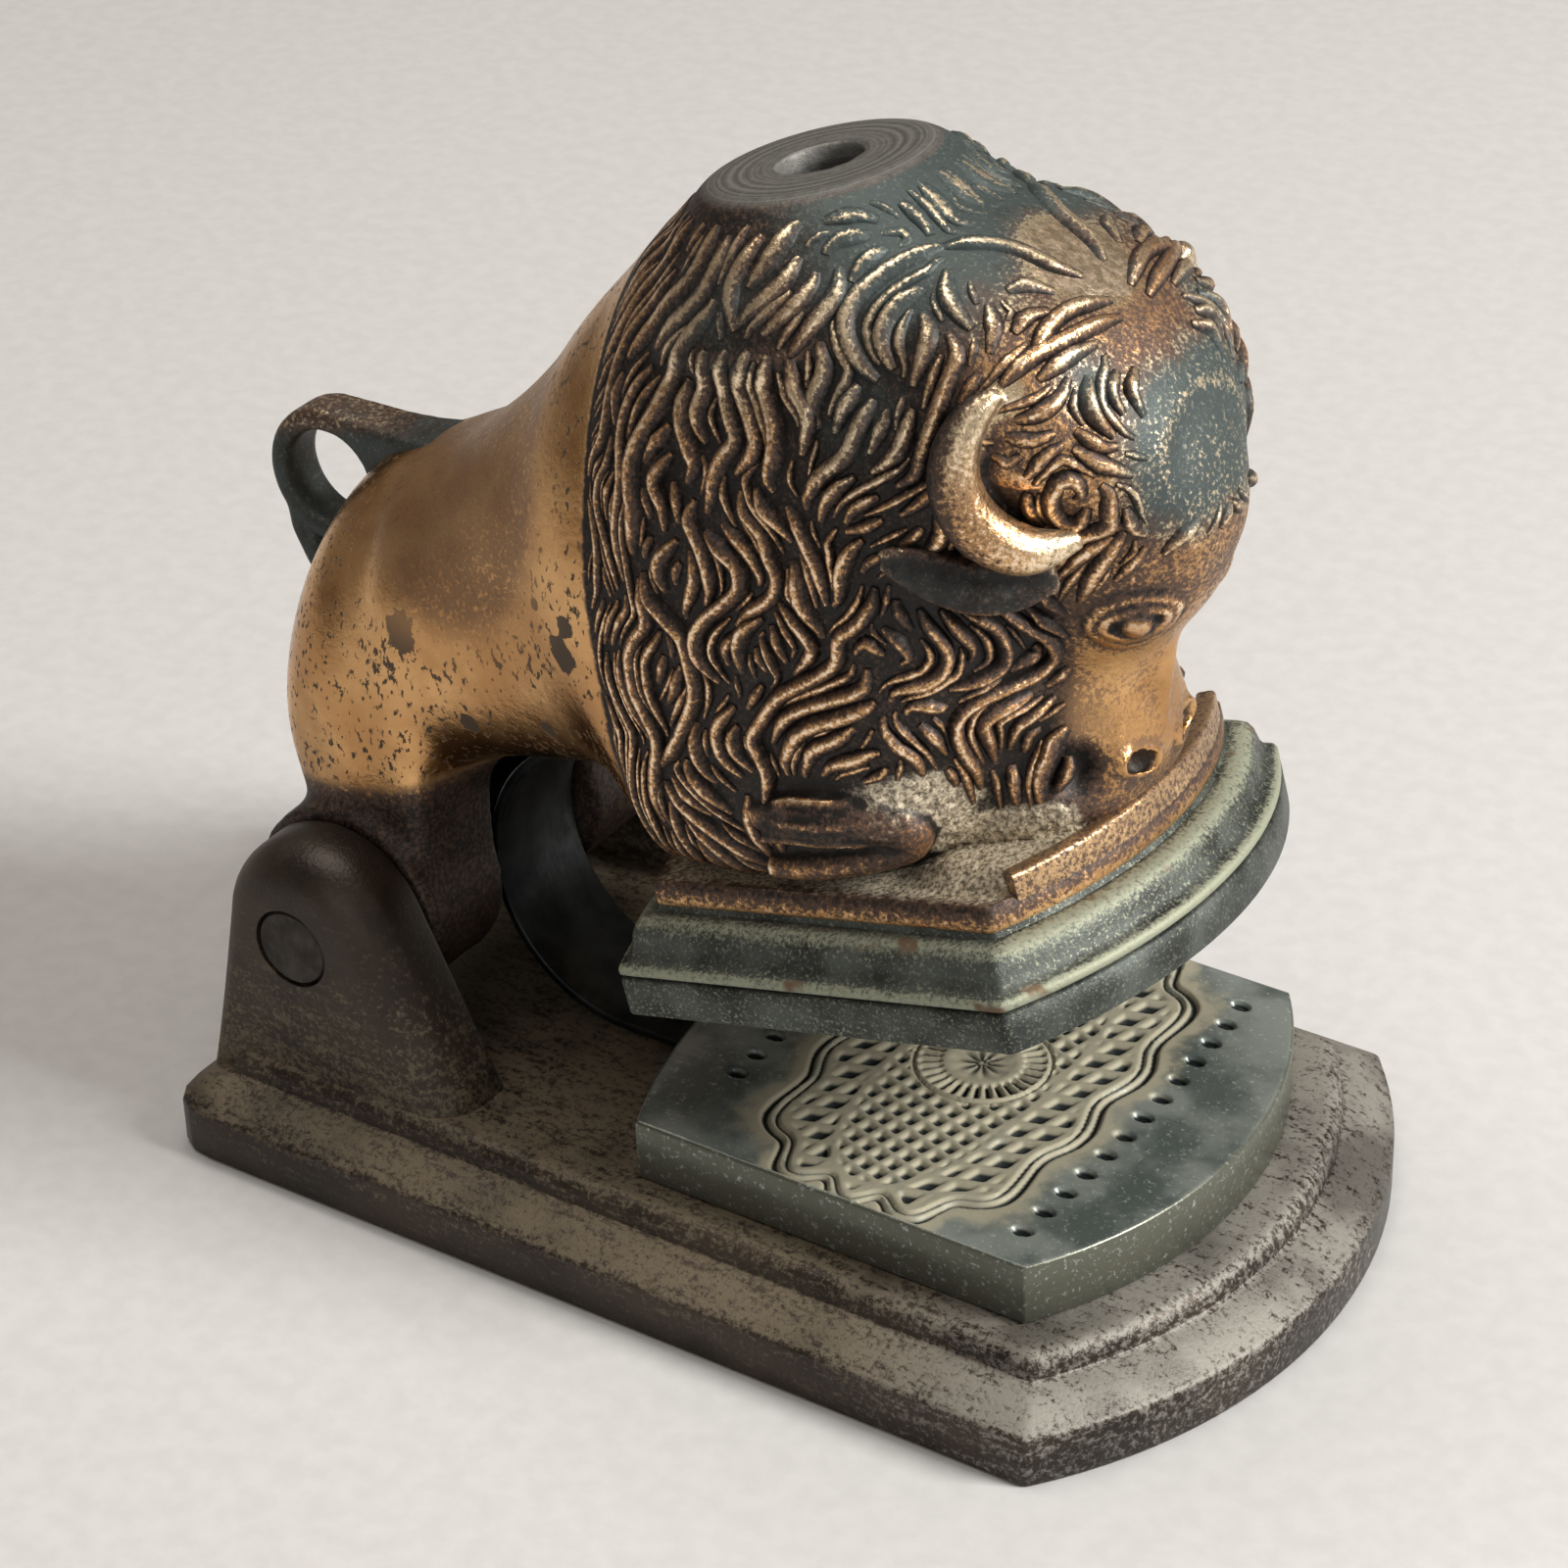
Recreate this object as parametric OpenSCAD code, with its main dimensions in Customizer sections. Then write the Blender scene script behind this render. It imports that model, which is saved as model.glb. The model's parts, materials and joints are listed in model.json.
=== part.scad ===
// Desk seal with a bison lever: a hinged hand press that embosses paper between two dies.
// Frame: +X to the front, +Y to the bison's left, +Z up, origin at the centre of the base's underside.
// The lever is drawn level, as it lies when the dies are shut, and then tipped open about its pin.

/* [Base] */
// Length of the base, from its rear edge to the middle of its bowed front
base_l = 107; // [102:0.5:114]
// Width of the base
base_w = 66; // [62:0.5:74]
// How far the front edge bows out past its corners
front_bow = 12.2; // [8:0.2:16]
// Height of the upright edge of the base
fascia_h = 5.4; // [3.6:0.1:7]
// Height of the platform that carries the lower die
platform_h = 9.6; // [8.6:0.1:12]
// Width of the moulded slope around the platform
slope_w = 6.6; // [5:0.1:8]
// Radius of the base's rear corners
corner_r = 5; // [2:0.5:9]

/* [Ears and pin] */
// Thickness of each ear
ear_t = 8; // [6.5:0.1:9]
// Distance from the base's side to an ear's outer face
ear_in = 6; // [5:0.1:7.5]
// Radius of an ear's round head
ear_r = 9.8; // [8.8:0.1:11]
// Length of an ear's foot ahead of the pin
ear_foot = 20; // [18:0.5:21.5]
// Distance from the base's rear edge to the pin's axis
pin_back = 12.5; // [12:0.1:14]
// Height of the pin's axis above the table
pin_h = 23.3; // [22.6:0.1:25]
// Diameter of the pivot pin
pin_d = 7.9; // [6:0.1:9]
// Radial clearance of the pin in the lever
pin_play = 0.06; // [0.02:0.01:0.1]
// Gap between the lever's lugs and the ears
lug_gap = 0.4; // [0.3:0.05:0.8]

/* [Dies] */
// Length of the dies between their corners
die_l = 40.5; // [37:0.5:42]
// How far the dies' front edges bow out past their corners
die_bow = 7.8; // [5:0.2:10]
// How far the dies' rear edges bow out past their corners
die_rear_bow = 5; // [3:0.2:6]
// Thickness of the lower die
die_t = 6.2; // [5:0.1:7]
// Width of the ledge that the platform leaves beside the lower die
side_ledge = 2.2; // [1:0.1:3]
// Width of the ledge that the platform leaves ahead of the lower die
front_ledge = 3.1; // [2:0.1:5]
// Paper room left between the shut dies
paper_gap = 0.25; // [0.15:0.05:0.6]
// Thickness of the counter force under the upper die plate
force_t = 2.15; // [1.6:0.05:2.6]
// Distance from the upper die plate's edge to the counter force
force_in = 4; // [3:0.5:6]
// Thickness of the upper die plate
plate_t = 3.85; // [3:0.05:5]

/* [Lever] */
// Angle that the lever opens from shut to rest
open_angle = 14.4; // [10:0.2:16]
// Height of the moulded plate
mould_h = 5.3; // [4.2:0.1:6.4]
// Width of the moulded plate's slope
mould_in = 4.2; // [3:0.1:5]
// Thickness of the plinth under the bison
plinth_t = 2.2; // [1.6:0.1:3]
// Height of the kerb along the plinth's front, above the plinth's underside
kerb_h = 4.3; // [3.6:0.1:5.5]
// Width of the kerb
kerb_w = 1.8; // [1.2:0.1:2.6]
// Height of the hump's flat pad above the pin
hump_h = 65.2; // [62:0.1:70]
// Half width of the mane
mane_w = 21; // [19:0.1:22.5]
// Height of the rump above the pin
rump_h = 41.2; // [39:0.1:43]
// Height of the belly above the pin
belly_h = 11.5; // [10.5:0.1:13]
// Radius of the lugs on the pin
lug_r = 10.4; // [8.5:0.1:11]
// Diameter of the hump's flat pad
pad_d = 18; // [16:0.5:21]
// Diameter of the knob's blind hole in the pad
knob_d = 7.5; // [6:0.1:9]
// Depth of the knob's hole
knob_deep = 9; // [6:0.5:14]

/* [Tail] */
// Distance of the loop's centre behind the pin
tail_back = 2.6; // [2:0.1:4]
// Distance of the loop's centre below the top of the rump
tail_down = 4.8; // [4:0.1:6]
// Length of the strap from the loop's centre into the back
strap_l = 18; // [16:0.5:20]
// Radius inside the tail's loop
tail_r = 5; // [4:0.1:6]
// Thickness of the tail's strap
tail_t = 1.8; // [1.4:0.1:2.4]
// Width of the tail's strap
tail_w = 6; // [4:0.2:8]

/* [Spring] */
// Width of the bow spring
spring_w = 12; // [9:0.5:13]
// Thickness of the bow spring
spring_t = 1; // [0.7:0.05:1.3]
// Gap between the bow and the pin
pin_room = 3.6; // [2:0.1:6]
// Length of the spring's foot
foot_l = 8; // [7:0.5:10]
// Gap between the spring's foot and the lower die
foot_gap = 1.4; // [0.6:0.1:2.4]
// Gap between the spring's leaf and the belly at rest
leaf_gap = 0.3; // [0.2:0.05:0.6]
// Depth of the seat that the belly has for the leaf
leaf_seat = 0.6; // [0.4:0.05:1.2]
// Clearance between the spring and the lever's two lugs
spring_room = 1.6; // [1:0.1:2]

/* [Fasteners] */
// Shank diameter of the screws that hold the dies
screw_d = 4; // [3:0.1:4.6]
// Head diameter of the screws that hold the dies
head_d = 7; // [6:0.1:8]
// Head height of the screws that hold the dies
head_t = 2; // [1.4:0.1:2.6]
// Distance of the die screws from the middle plane
screw_off = 13; // [11:0.5:15]
// Diameter of the locating dowels
dowel_d = 3; // [2:0.1:4]
// Distance of the dowels ahead of and behind the screws
dowel_off = 11; // [9:0.5:12]
// Depth of screws and dowels in the piece that they end in
seat_deep = 4; // [3:0.1:4.4]
// Shank diameter of the spring's screw
spring_screw_d = 3; // [2.4:0.1:3.6]
// Head diameter of the spring's screw
spring_head_d = 5.5; // [4.6:0.1:6]
// Head height of the spring's screw
spring_head_t = 1.8; // [1.2:0.1:2.4]
// Clearance round screws, dowels and the pin where they are held
seat_play = 0.03; // [0.02:0.01:0.06]

/* [Hidden] */
$fn = 64;
// Overlap that keeps joined shapes and cuts from ending on one face
eps = 0.5;
// Flats in a moulded slope along the sides and round the ends; they differ, so that no edges meet end to end
side_steps = 8;
end_steps = 7;
// How strongly a moulded slope swells from a straight one
mould_swell = 0.8;

bronze = [0.28, 0.22, 0.17];
copper = [0.72, 0.47, 0.26];
verdigris = [0.30, 0.36, 0.32];
steel = [0.32, 0.33, 0.34];

pin_x = pin_back - base_l/2;
pin_r = pin_d/2;
ear_outer = base_w/2 - ear_in;
ear_inner = ear_outer - ear_t;
// The round head's centre lies a little ahead of the pin, so that the ear leans forward
ear_lean = 0.6;
// The ear's rear foot spreads almost to the base's rear edge
ear_rear_in = 0.3;

platform_half = base_w/2 - slope_w;
die_half = platform_half - side_ledge;
die_front = base_l/2 - slope_w - front_ledge - die_bow;
die_rear = die_front - die_l;
die_mid = (die_front + die_rear)/2;
die_top = platform_h + die_t;

// Lever heights and lengths count from the pin's axis, with the lever level
force_z = die_top + paper_gap - pin_h;
plate_z = force_z + force_t;
mould_z = plate_z + plate_t;
plinth_z = mould_z + mould_h;
bed_z = plinth_z + plinth_t;
plate_rear = die_rear - pin_x;
plate_front = die_front - pin_x;
plate_mid = die_mid - pin_x;
plinth_half = die_half - mould_in;

lug_half = ear_inner - lug_gap;
slot_half = spring_w/2 + spring_room;
// The haunches lie inside the lugs' outer faces
haunch_in = 1.2;
haunch = lug_half - haunch_in;
// The pad stands behind the plinth's front corners
pad_back = 16;
pad_x = plate_front - pad_back;
pad_t = 6;
// The upper dowels stop short of the die plate's face
dowel_skin = 1;
dowel_in_plate = plate_t - dowel_skin;

// The spring stands on the platform between the lugs and the lower die
foot_end = die_rear - die_rear_bow - foot_gap;
bow_x = foot_end - foot_l;
belly_rest_z = pin_h + (bow_x - pin_x)*tan(open_angle) + belly_h/cos(open_angle);
bow_low = platform_h + spring_t/2;
bow_high = belly_rest_z - leaf_gap - spring_t/2;
bow_mid_z = (bow_low + bow_high)/2;
bow_half_h = (bow_high - bow_low)/2;
spring_bulge = bow_x - pin_x - pin_r - pin_room - spring_t/2;
// Where the leaf ends along the level lever
leaf_end = (bow_x - pin_x)*cos(open_angle) + (bow_high - pin_h)*sin(open_angle);
spring_screw_x = foot_end - foot_l/2;

function arc_radius(half, bow) = (half*half + bow*bow)/(2*bow);
// S-shaped slope from the foot [0, low] to the head [wide, high]; swell above 0 bulges at the foot
function s_slope(wide, low, high, swell, steps) = [for (i = [0:steps])
    let (t = i/steps) [wide*t, low + (high - low)*(t + swell*sin(360*t)/(2*PI))]];

// Block with straight sides, bowed ends and a moulded edge; edge lists [inset, height] from the foot up.
// The side bar sets its top and bottom faces, and the ends, which have their own edge, reach past them.
module bowed_block(rear, front, half, bow_f, bow_r, edge, end_edge) {
    reach = front - rear + bow_f + bow_r + 2*half;
    side = [for (e = edge) [half - e[0], e[1]]];
    other_side = [for (i = [len(edge) - 1:-1:0]) [edge[i][0] - half, edge[i][1]]];
    intersection() {
        translate([rear - half, 0, 0])
            rotate([90, 0, 90])
                linear_extrude(reach)
                    polygon(concat(side, other_side));
        bow_end(front, half, bow_f, end_edge);
        if (bow_r > 0)
            translate([rear, 0, 0])
                mirror([1, 0, 0])
                    bow_end(0, half, bow_r, end_edge);
        else
            straight_end(rear, half, reach, end_edge);
    }
}

// Edge with its first and last points carried past the block's bottom and top
function long_edge(edge) =
    let (first = edge[0])
    let (last = edge[len(edge) - 1])
    concat([[first[0], first[1] - eps]], edge, [[last[0], last[1] + eps]]);

// Round body whose arc passes through the corners at x = front and bows out past them
module bow_end(front, half, bow, edge) {
    r = arc_radius(half, bow);
    tall = long_edge(edge);
    low = tall[0][1];
    high = tall[len(tall) - 1][1];
    translate([front + bow - r, 0, 0]) {
        rotate_extrude()
            polygon(concat([[0, low]], [for (e = tall) [r - e[0], e[1]]], [[0, high]]));
        // Fills the space behind the arc's centre, which the other end bounds
        translate([-6*half, -2*half, low])
            cube([6*half, 4*half, high - low]);
    }
}

// Bar whose moulded edge lies along x = rear
module straight_end(rear, half, reach, edge) {
    tall = long_edge(edge);
    low = tall[0][1];
    high = tall[len(tall) - 1][1];
    translate([rear, half + eps, 0])
        rotate([90, 0, 0])
            linear_extrude(2*half + 2*eps)
                polygon(concat(tall, [[reach, high], [reach, low]]));
}

module at_rest() {
    translate([pin_x, 0, pin_h])
        rotate([0, -open_angle, 0])
            children();
}

module across(r, length) {
    rotate([90, 0, 0])
        cylinder(h = length, r = r, center = true);
}

module mirrored_y() {
    children();
    mirror([0, 1, 0]) children();
}

// Places that the two screws and the two dowels of a die share
module screw_places(x) {
    for (s = [-1, 1]) translate([x, s*screw_off, 0]) children();
}

module dowel_places(x) {
    for (s = [-1, 1]) translate([x + s*dowel_off, 0, 0]) children();
}

// Flat-headed screw with its head's face at z = 0, pointing up
module screw(length, play = 0) {
    cylinder(h = length + play, d = screw_d + 2*play);
    cylinder(h = head_t + play, d = head_d + 2*play);
}

// Place where the line from a foot touches an ear's round head; way is 1 for the front foot, -1 for the rear
function ear_touch(c, foot, way) =
    let (away = foot - c)
    let (turn = atan2(away[1], away[0]) + way*acos(ear_r/norm(away)))
    c + ear_r*[cos(turn), sin(turn)];

module ear_outline() {
    c = [pin_x + ear_lean, pin_h];
    front_foot = [pin_x + ear_foot, fascia_h];
    rear_foot = [ear_rear_in - base_l/2, fascia_h];
    translate(c) circle(ear_r);
    polygon([rear_foot, front_foot, ear_touch(c, front_foot, 1), c, ear_touch(c, rear_foot, -1)]);
}

module ear() {
    translate([0, ear_outer, 0])
        rotate([90, 0, 0])
            linear_extrude(ear_t)
                ear_outline();
}

// Block that rounds the base's two rear corners and lies clear of its other edges
module rear_corners() {
    clear = 1;
    tall = platform_h + 2*clear;
    translate([corner_r - base_l/2, -base_w/2 - clear, -clear])
        cube([base_l, base_w + 2*clear, tall]);
    translate([-base_l/2 - clear, corner_r - base_w/2, -clear])
        cube([2*corner_r, base_w - 2*corner_r, tall]);
    mirrored_y()
        translate([corner_r - base_l/2, base_w/2 - corner_r, -clear])
            cylinder(h = tall, r = corner_r);
}

module base_casting() color(bronze) {
    front = base_l/2 - front_bow;
    side_edge = concat([[0, 0]], s_slope(slope_w, fascia_h, platform_h, mould_swell, side_steps));
    end_edge = concat([[0, 0]], s_slope(slope_w, fascia_h, platform_h, mould_swell, end_steps));
    difference() {
        union() {
            intersection() {
                bowed_block(-base_l/2, front, base_w/2, front_bow, 0, side_edge, end_edge);
                rear_corners();
            }
            mirrored_y() ear();
        }
        translate([pin_x, 0, pin_h]) across(pin_r + seat_play, base_w);
        screw_places(die_mid) {
            translate([0, 0, -eps]) cylinder(h = platform_h + 2*eps, d = screw_d + 2*seat_play);
            translate([0, 0, -eps]) cylinder(h = head_t + seat_play + eps, d = head_d + 2*seat_play);
        }
        dowel_places(die_mid)
            translate([0, 0, platform_h - seat_deep])
                cylinder(h = seat_deep + eps, d = dowel_d + 2*seat_play);
        translate([spring_screw_x, 0, platform_h - seat_deep])
            cylinder(h = seat_deep + eps, d = spring_screw_d + 2*seat_play);
    }
}

// Outline shared by the dies and plates, drawn by the lower die's corners
module die_slab(rear, low, height, inset) {
    edge = [[inset, low], [inset, low + height]];
    bowed_block(rear, rear + die_l, die_half, die_bow, die_rear_bow, edge, edge);
}

module lower_die() color(verdigris) difference() {
    die_slab(die_rear, platform_h, die_t, 0);
    screw_places(die_mid)
        translate([0, 0, platform_h - eps])
            cylinder(h = seat_deep + seat_play + eps, d = screw_d + 2*seat_play);
    dowel_places(die_mid)
        translate([0, 0, platform_h - eps])
            cylinder(h = seat_deep + eps, d = dowel_d + 2*seat_play);
}

module lower_die_screws() color(steel) screw_places(die_mid) screw(platform_h + seat_deep);

module die_dowels() color(steel) dowel_places(die_mid)
    translate([0, 0, platform_h - seat_deep])
        cylinder(h = 2*seat_deep, d = dowel_d);

module pivot_pin() color(steel) translate([pin_x, 0, pin_h]) across(pin_r, 2*ear_outer);

// Bow of the spring, seen from the side, as a band of even thickness round half an ellipse
function bow_point(t, side) =
    let (p = [bow_x - spring_bulge*cos(t), bow_mid_z + bow_half_h*sin(t)])
    let (n = [-bow_half_h*cos(t), spring_bulge*sin(t)])
    p + side*spring_t/2*n/norm(n);

module return_spring() color(steel) {
    steps = 24;
    outer = [for (i = [0:steps]) bow_point(180*i/steps - 90, 1)];
    inner = [for (i = [steps:-1:0]) bow_point(180*i/steps - 90, -1)];
    foot = [[foot_end, platform_h + spring_t], [foot_end, platform_h]];
    difference() {
        translate([0, spring_w/2, 0])
            rotate([90, 0, 0])
                linear_extrude(spring_w)
                    polygon(concat(outer, inner, foot));
        translate([spring_screw_x, 0, platform_h - eps])
            cylinder(h = spring_t + 2*eps, d = spring_screw_d + 2*seat_play);
    }
}

module spring_screw() color(steel) translate([spring_screw_x, 0, platform_h]) {
    translate([0, 0, -seat_deep]) cylinder(h = seat_deep + spring_t, d = spring_screw_d);
    translate([0, 0, spring_t]) cylinder(h = spring_head_t, d = spring_head_d);
}

// Cross-sections of the bison, from the rump to the forehead. Each row holds the place along the lever,
// the top, the bottom, the half width, the height of the widest part, and how square the section is
// above and below that height (2 is an ellipse, more is squarer).
sink = 1;
head = plate_front - 77;
// Place along the lever by its share of the way from the pin to the plinth
function waist(share) = share*plate_rear;
// Height of a place on the mane or the head, from its height above the bed under a pad that is 59 above it
drawn_h = 59;
function above(h) = bed_z + h*(hump_h - bed_z)/drawn_h;
sections = [
    [-7.2, rump_h - 26.2, 3, haunch - 8, 9, 2.4, 2.4],
    [-6.4, rump_h - 21.2, -3, haunch - 5, 11, 2.2, 2.6],
    [-4.6, rump_h - 14.2, 4 - lug_r, haunch - 2.8, 14, 2.1, 3],
    [-2.2, rump_h - 9.7, 2 - lug_r, haunch - 1.4, 16, 2.1, 4],
    [0.6, rump_h - 6.2, 0.8 - lug_r, haunch - 0.6, 17, 2.2, 5],
    [waist(0.1), rump_h - 3.4, 0.4 - lug_r, haunch, 17, 2.2, 5],
    [waist(0.18), rump_h - 1.6, 2.4 - lug_r, haunch, 17, 2.2, 5],
    [waist(0.25), rump_h - 1.2, 6 - lug_r, haunch, 18, 2.2, 5],
    [waist(0.3), rump_h - 0.9, belly_h - 7, haunch, 20, 2.2, 4],
    [waist(0.36), rump_h - 0.4, belly_h - 2, haunch - 0.2, 24, 2.2, 3],
    [waist(0.49), rump_h + 0.9, belly_h, haunch - 0.3, 26, 2.2, 3],
    [waist(0.68), rump_h + 4.4, belly_h, mane_w - 3.5, 28, 2.2, 3],
    [waist(0.85), hump_h - 15.4, belly_h, mane_w - 2.6, 29, 2.1, 3],
    [waist(0.96), hump_h - 12, belly_h - 2, mane_w - 1.6, 30, 2.1, 3],
    [plate_rear + 1, hump_h - 10, bed_z + 0.3, mane_w - 1, 30, 2.1, 3.5],
    [plate_rear + 4, hump_h - 7.8, bed_z - sink, mane_w - 0.6, 30, 2.1, 5],
    [plate_rear + 10, hump_h - 3, bed_z - sink, mane_w - 0.2, 30, 2.2, 6],
    [head + 53, hump_h - 0.6, bed_z - sink, mane_w, 30, 2.3, 6],
    [head + 61, hump_h - 0.4, bed_z - sink, mane_w, 31, 2.4, 5],
    [head + 67, hump_h - 1, bed_z - sink, mane_w - 0.4, above(27), 2.4, 3.2],
    [head + 73, hump_h - 2.8, bed_z - sink, mane_w - 1.5, above(32), 2.3, 1.8],
    [head + 78, hump_h - 5.4, bed_z - sink, mane_w - 3.2, above(36), 2.4, 1.25],
    [head + 81, hump_h - 7.4, above(1), mane_w - 4, above(37), 2.5, 1.2],
    [head + 84, hump_h - 9.6, above(6), mane_w - 4.8, above(37), 2.6, 1.25],
    [head + 87, hump_h - 12.2, above(14), mane_w - 6.4, above(36), 2.6, 1.4],
    [head + 90, hump_h - 15.6, above(22), mane_w - 9.4, above(35), 2.4, 1.8],
    [head + 92.4, hump_h - 20, above(28), mane_w - 14, above(34), 2, 2]
];
ring_sides = 40;

function power(v, e) = sign(v)*pow(abs(v), e);
function ring(s) = [for (i = [0:ring_sides - 1])
    let (a = 360*i/ring_sides)
    let (upper = sin(a) >= 0)
    let (e = 2/(upper ? s[5] : s[6]))
    let (rise = upper ? s[1] - s[4] : s[4] - s[2])
    [s[0], s[3]*power(cos(a), e), s[4] + rise*power(sin(a), e)]];

// Skin through a row of rings, each a list of as many points
module lofted(rings) {
    n = len(rings[0]);
    last = len(rings) - 1;
    points = [for (r = rings) each r];
    walls = [for (k = [0:last - 1]) for (i = [0:n - 1])
        let (j = (i + 1)%n)
        each [[k*n + i, (k + 1)*n + j, k*n + j], [k*n + i, (k + 1)*n + i, (k + 1)*n + j]]];
    first_cap = [for (i = [0:n - 1]) i];
    last_cap = [for (i = [n - 1:-1:0]) last*n + i];
    polyhedron(points, concat([first_cap], walls, [last_cap]));
}

// Plan sections of the face, from the chin to the crown: height above the bed, front and half width
face = [
    [-sink, head + 76.4, 6.6],
    [2.2, head + 78, 7.4],
    [5.8, head + 80, 7.8],
    [9.8, head + 81.2, 7.4],
    [13.8, head + 83.4, 7.6],
    [17.8, head + 86.6, 8.8],
    [21.8, head + 90, 10.6],
    [25.8, head + 92.2, 12.4],
    [30.8, head + 92.8, 13.8],
    [35.8, head + 92.2, 14.8],
    [40.8, head + 91, 15],
    [45.8, head + 88.2, 14.2],
    [49.6, head + 84, 12.4]
];
function face_ring(f) = [for (i = [0:ring_sides - 1])
    let (a = 360*i/ring_sides)
    let (back = head + 66)
    let (reach = cos(a) >= 0 ? f[1] - back : 4)
    let (square = 2/2.5)
    [back + reach*power(cos(a), square), f[2]*power(sin(a), square), above(f[0])]];

// Place on the head or the foreleg from its distance along, in from the mane's side and up from the bed
function placed(p) = [head + p[0], mane_w - p[1], above(p[2])];
function heading(path, i) =
    let (step = path[min(i + 1, len(path) - 1)] - path[max(i - 1, 0)])
    step/norm(step);

// Tapered form along a path; each size holds the half height and the half thickness at a point
module swept(path, sizes, sides) {
    outward = [0, 1, 0];
    lofted([for (i = [0:len(path) - 1])
        let (t = heading(path, i))
        let (u = cross(outward, t)/norm(cross(outward, t)))
        let (s = cross(t, u))
        [for (k = [0:sides - 1])
            path[i] + sizes[i][0]*cos(360*k/sides)*u + sizes[i][1]*sin(360*k/sides)*s]]);
}

module horn() {
    path = [[85.6, 8, 29.8], [83.2, 5.4, 30.9], [81.1, 3.7, 33.5], [80.3, 2.8, 37.1], [80.8, 2.8, 40.4],
        [82, 3.6, 42.6], [83.6, 5, 44.2], [85.4, 7, 45.2]];
    thick = [2.1, 2.3, 2.3, 2.2, 2, 1.6, 1.2, 0.6];
    swept([for (p = path) placed(p)], [for (r = thick) [r, r]], 8);
}

// The bison's own ear, below its horn
module bison_ear() {
    path = [[84, 8.6, 27.4], [80.8, 6.6, 27.2], [78.2, 4.6, 28.2], [76, 2.8, 30], [74.3, 1.6, 31.4],
        [73, 1.2, 32.1]];
    sizes = [[0.9, 0.8], [1.8, 1.2], [2.2, 1.3], [2.1, 1.2], [1.3, 0.9], [0.4, 0.4]];
    swept([for (p = path) placed(p)], sizes, 8);
}

// Folded foreleg, as the forearm and the shank under it
module foreleg() {
    forearm = [[53, 1.8, 8.4], [58, 1.4, 9], [63.5, 2.2, 8.8], [67.6, 4.2, 7.2], [69.4, 5.4, 5.6]];
    shank = [[68.6, 5, 5], [64, 3.8, 3.2], [58.5, 2.2, 2.6], [53.5, 1.4, 2.6]];
    swept([for (p = forearm) placed(p)], [for (r = [2.2, 2.9, 3.1, 2.9, 2]) [r, r]], 8);
    swept([for (p = shank) placed(p)], [for (r = [2.4, 2, 1.8, 1.5]) [r, r]], 8);
}

// Half width of the bison at a place along it and a height
function flank(x, z) =
    let (k = max([for (i = [0:len(sections) - 2]) sections[i][0] <= x ? i : 0]))
    let (t = (x - sections[k][0])/(sections[k + 1][0] - sections[k][0]))
    let (s = (1 - t)*sections[k] + t*sections[k + 1])
    let (upper = z >= s[4])
    let (share = min(1, (z - s[4])/(upper ? s[1] - s[4] : s[2] - s[4])))
    let (e = upper ? s[5] : s[6])
    s[3]*pow(1 - pow(share, e), 1/e);

// Locks of the mane. Each row holds the place along the bison, the heights of its top and its tip above the
// bed, and how far it leans back.
locks = [
    [46, 51, 32, 1], [50, 54, 33, 3], [55, 55, 34, 4], [61, 55, 35, 5], [67, 54, 36, 6], [73, 51, 36, 6],
    [43, 42, 18, 0], [48, 38, 16, 0], [53, 36, 15, 0], [58, 36, 15, 1], [63, 37, 16, 2], [68, 38, 18, 3],
    [45.5, 22, 3, 0], [50, 20, 11, 0], [66, 21, 12, 1], [71, 32, 12, 2], [74.5, 27, 9, 2]
];
lock_r = 1.5;
lock_sway = 0.9;
lock_wave = 13;

module lock(x, top, tip, lean) {
    steps = 8;
    path = [for (i = [0:steps])
        let (t = i/steps)
        let (z = above(top + (tip - top)*t))
        let (along = head + x - lean*t + lock_sway*sin(360*z/lock_wave))
        [along, flank(along, z) - lock_r/4, z]];
    swept(path, [for (i = [0:steps]) let (r = lock_r*(0.2 + 0.8*sin(180*i/steps))) [r, r]], 5);
}

module plinth() {
    edge = [[mould_in, plinth_z], [mould_in, bed_z]];
    kerb_edge = [[mould_in, plinth_z], [mould_in, plinth_z + kerb_h]];
    inner_edge = [[mould_in + kerb_w, plinth_z - eps], [mould_in + kerb_w, plinth_z + kerb_h + eps]];
    bowed_block(plate_rear, plate_front, die_half, die_bow, die_rear_bow, edge, edge);
    difference() {
        bowed_block(plate_rear, plate_front, die_half, die_bow, die_rear_bow, kerb_edge, kerb_edge);
        bowed_block(plate_rear, plate_front, die_half, die_bow, die_rear_bow, inner_edge, inner_edge);
        translate([plate_rear - die_rear_bow - eps, -die_half, plinth_z - eps])
            cube([plate_front - plate_rear + die_rear_bow - mould_in, 2*die_half, kerb_h + 2*eps]);
    }
}

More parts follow.
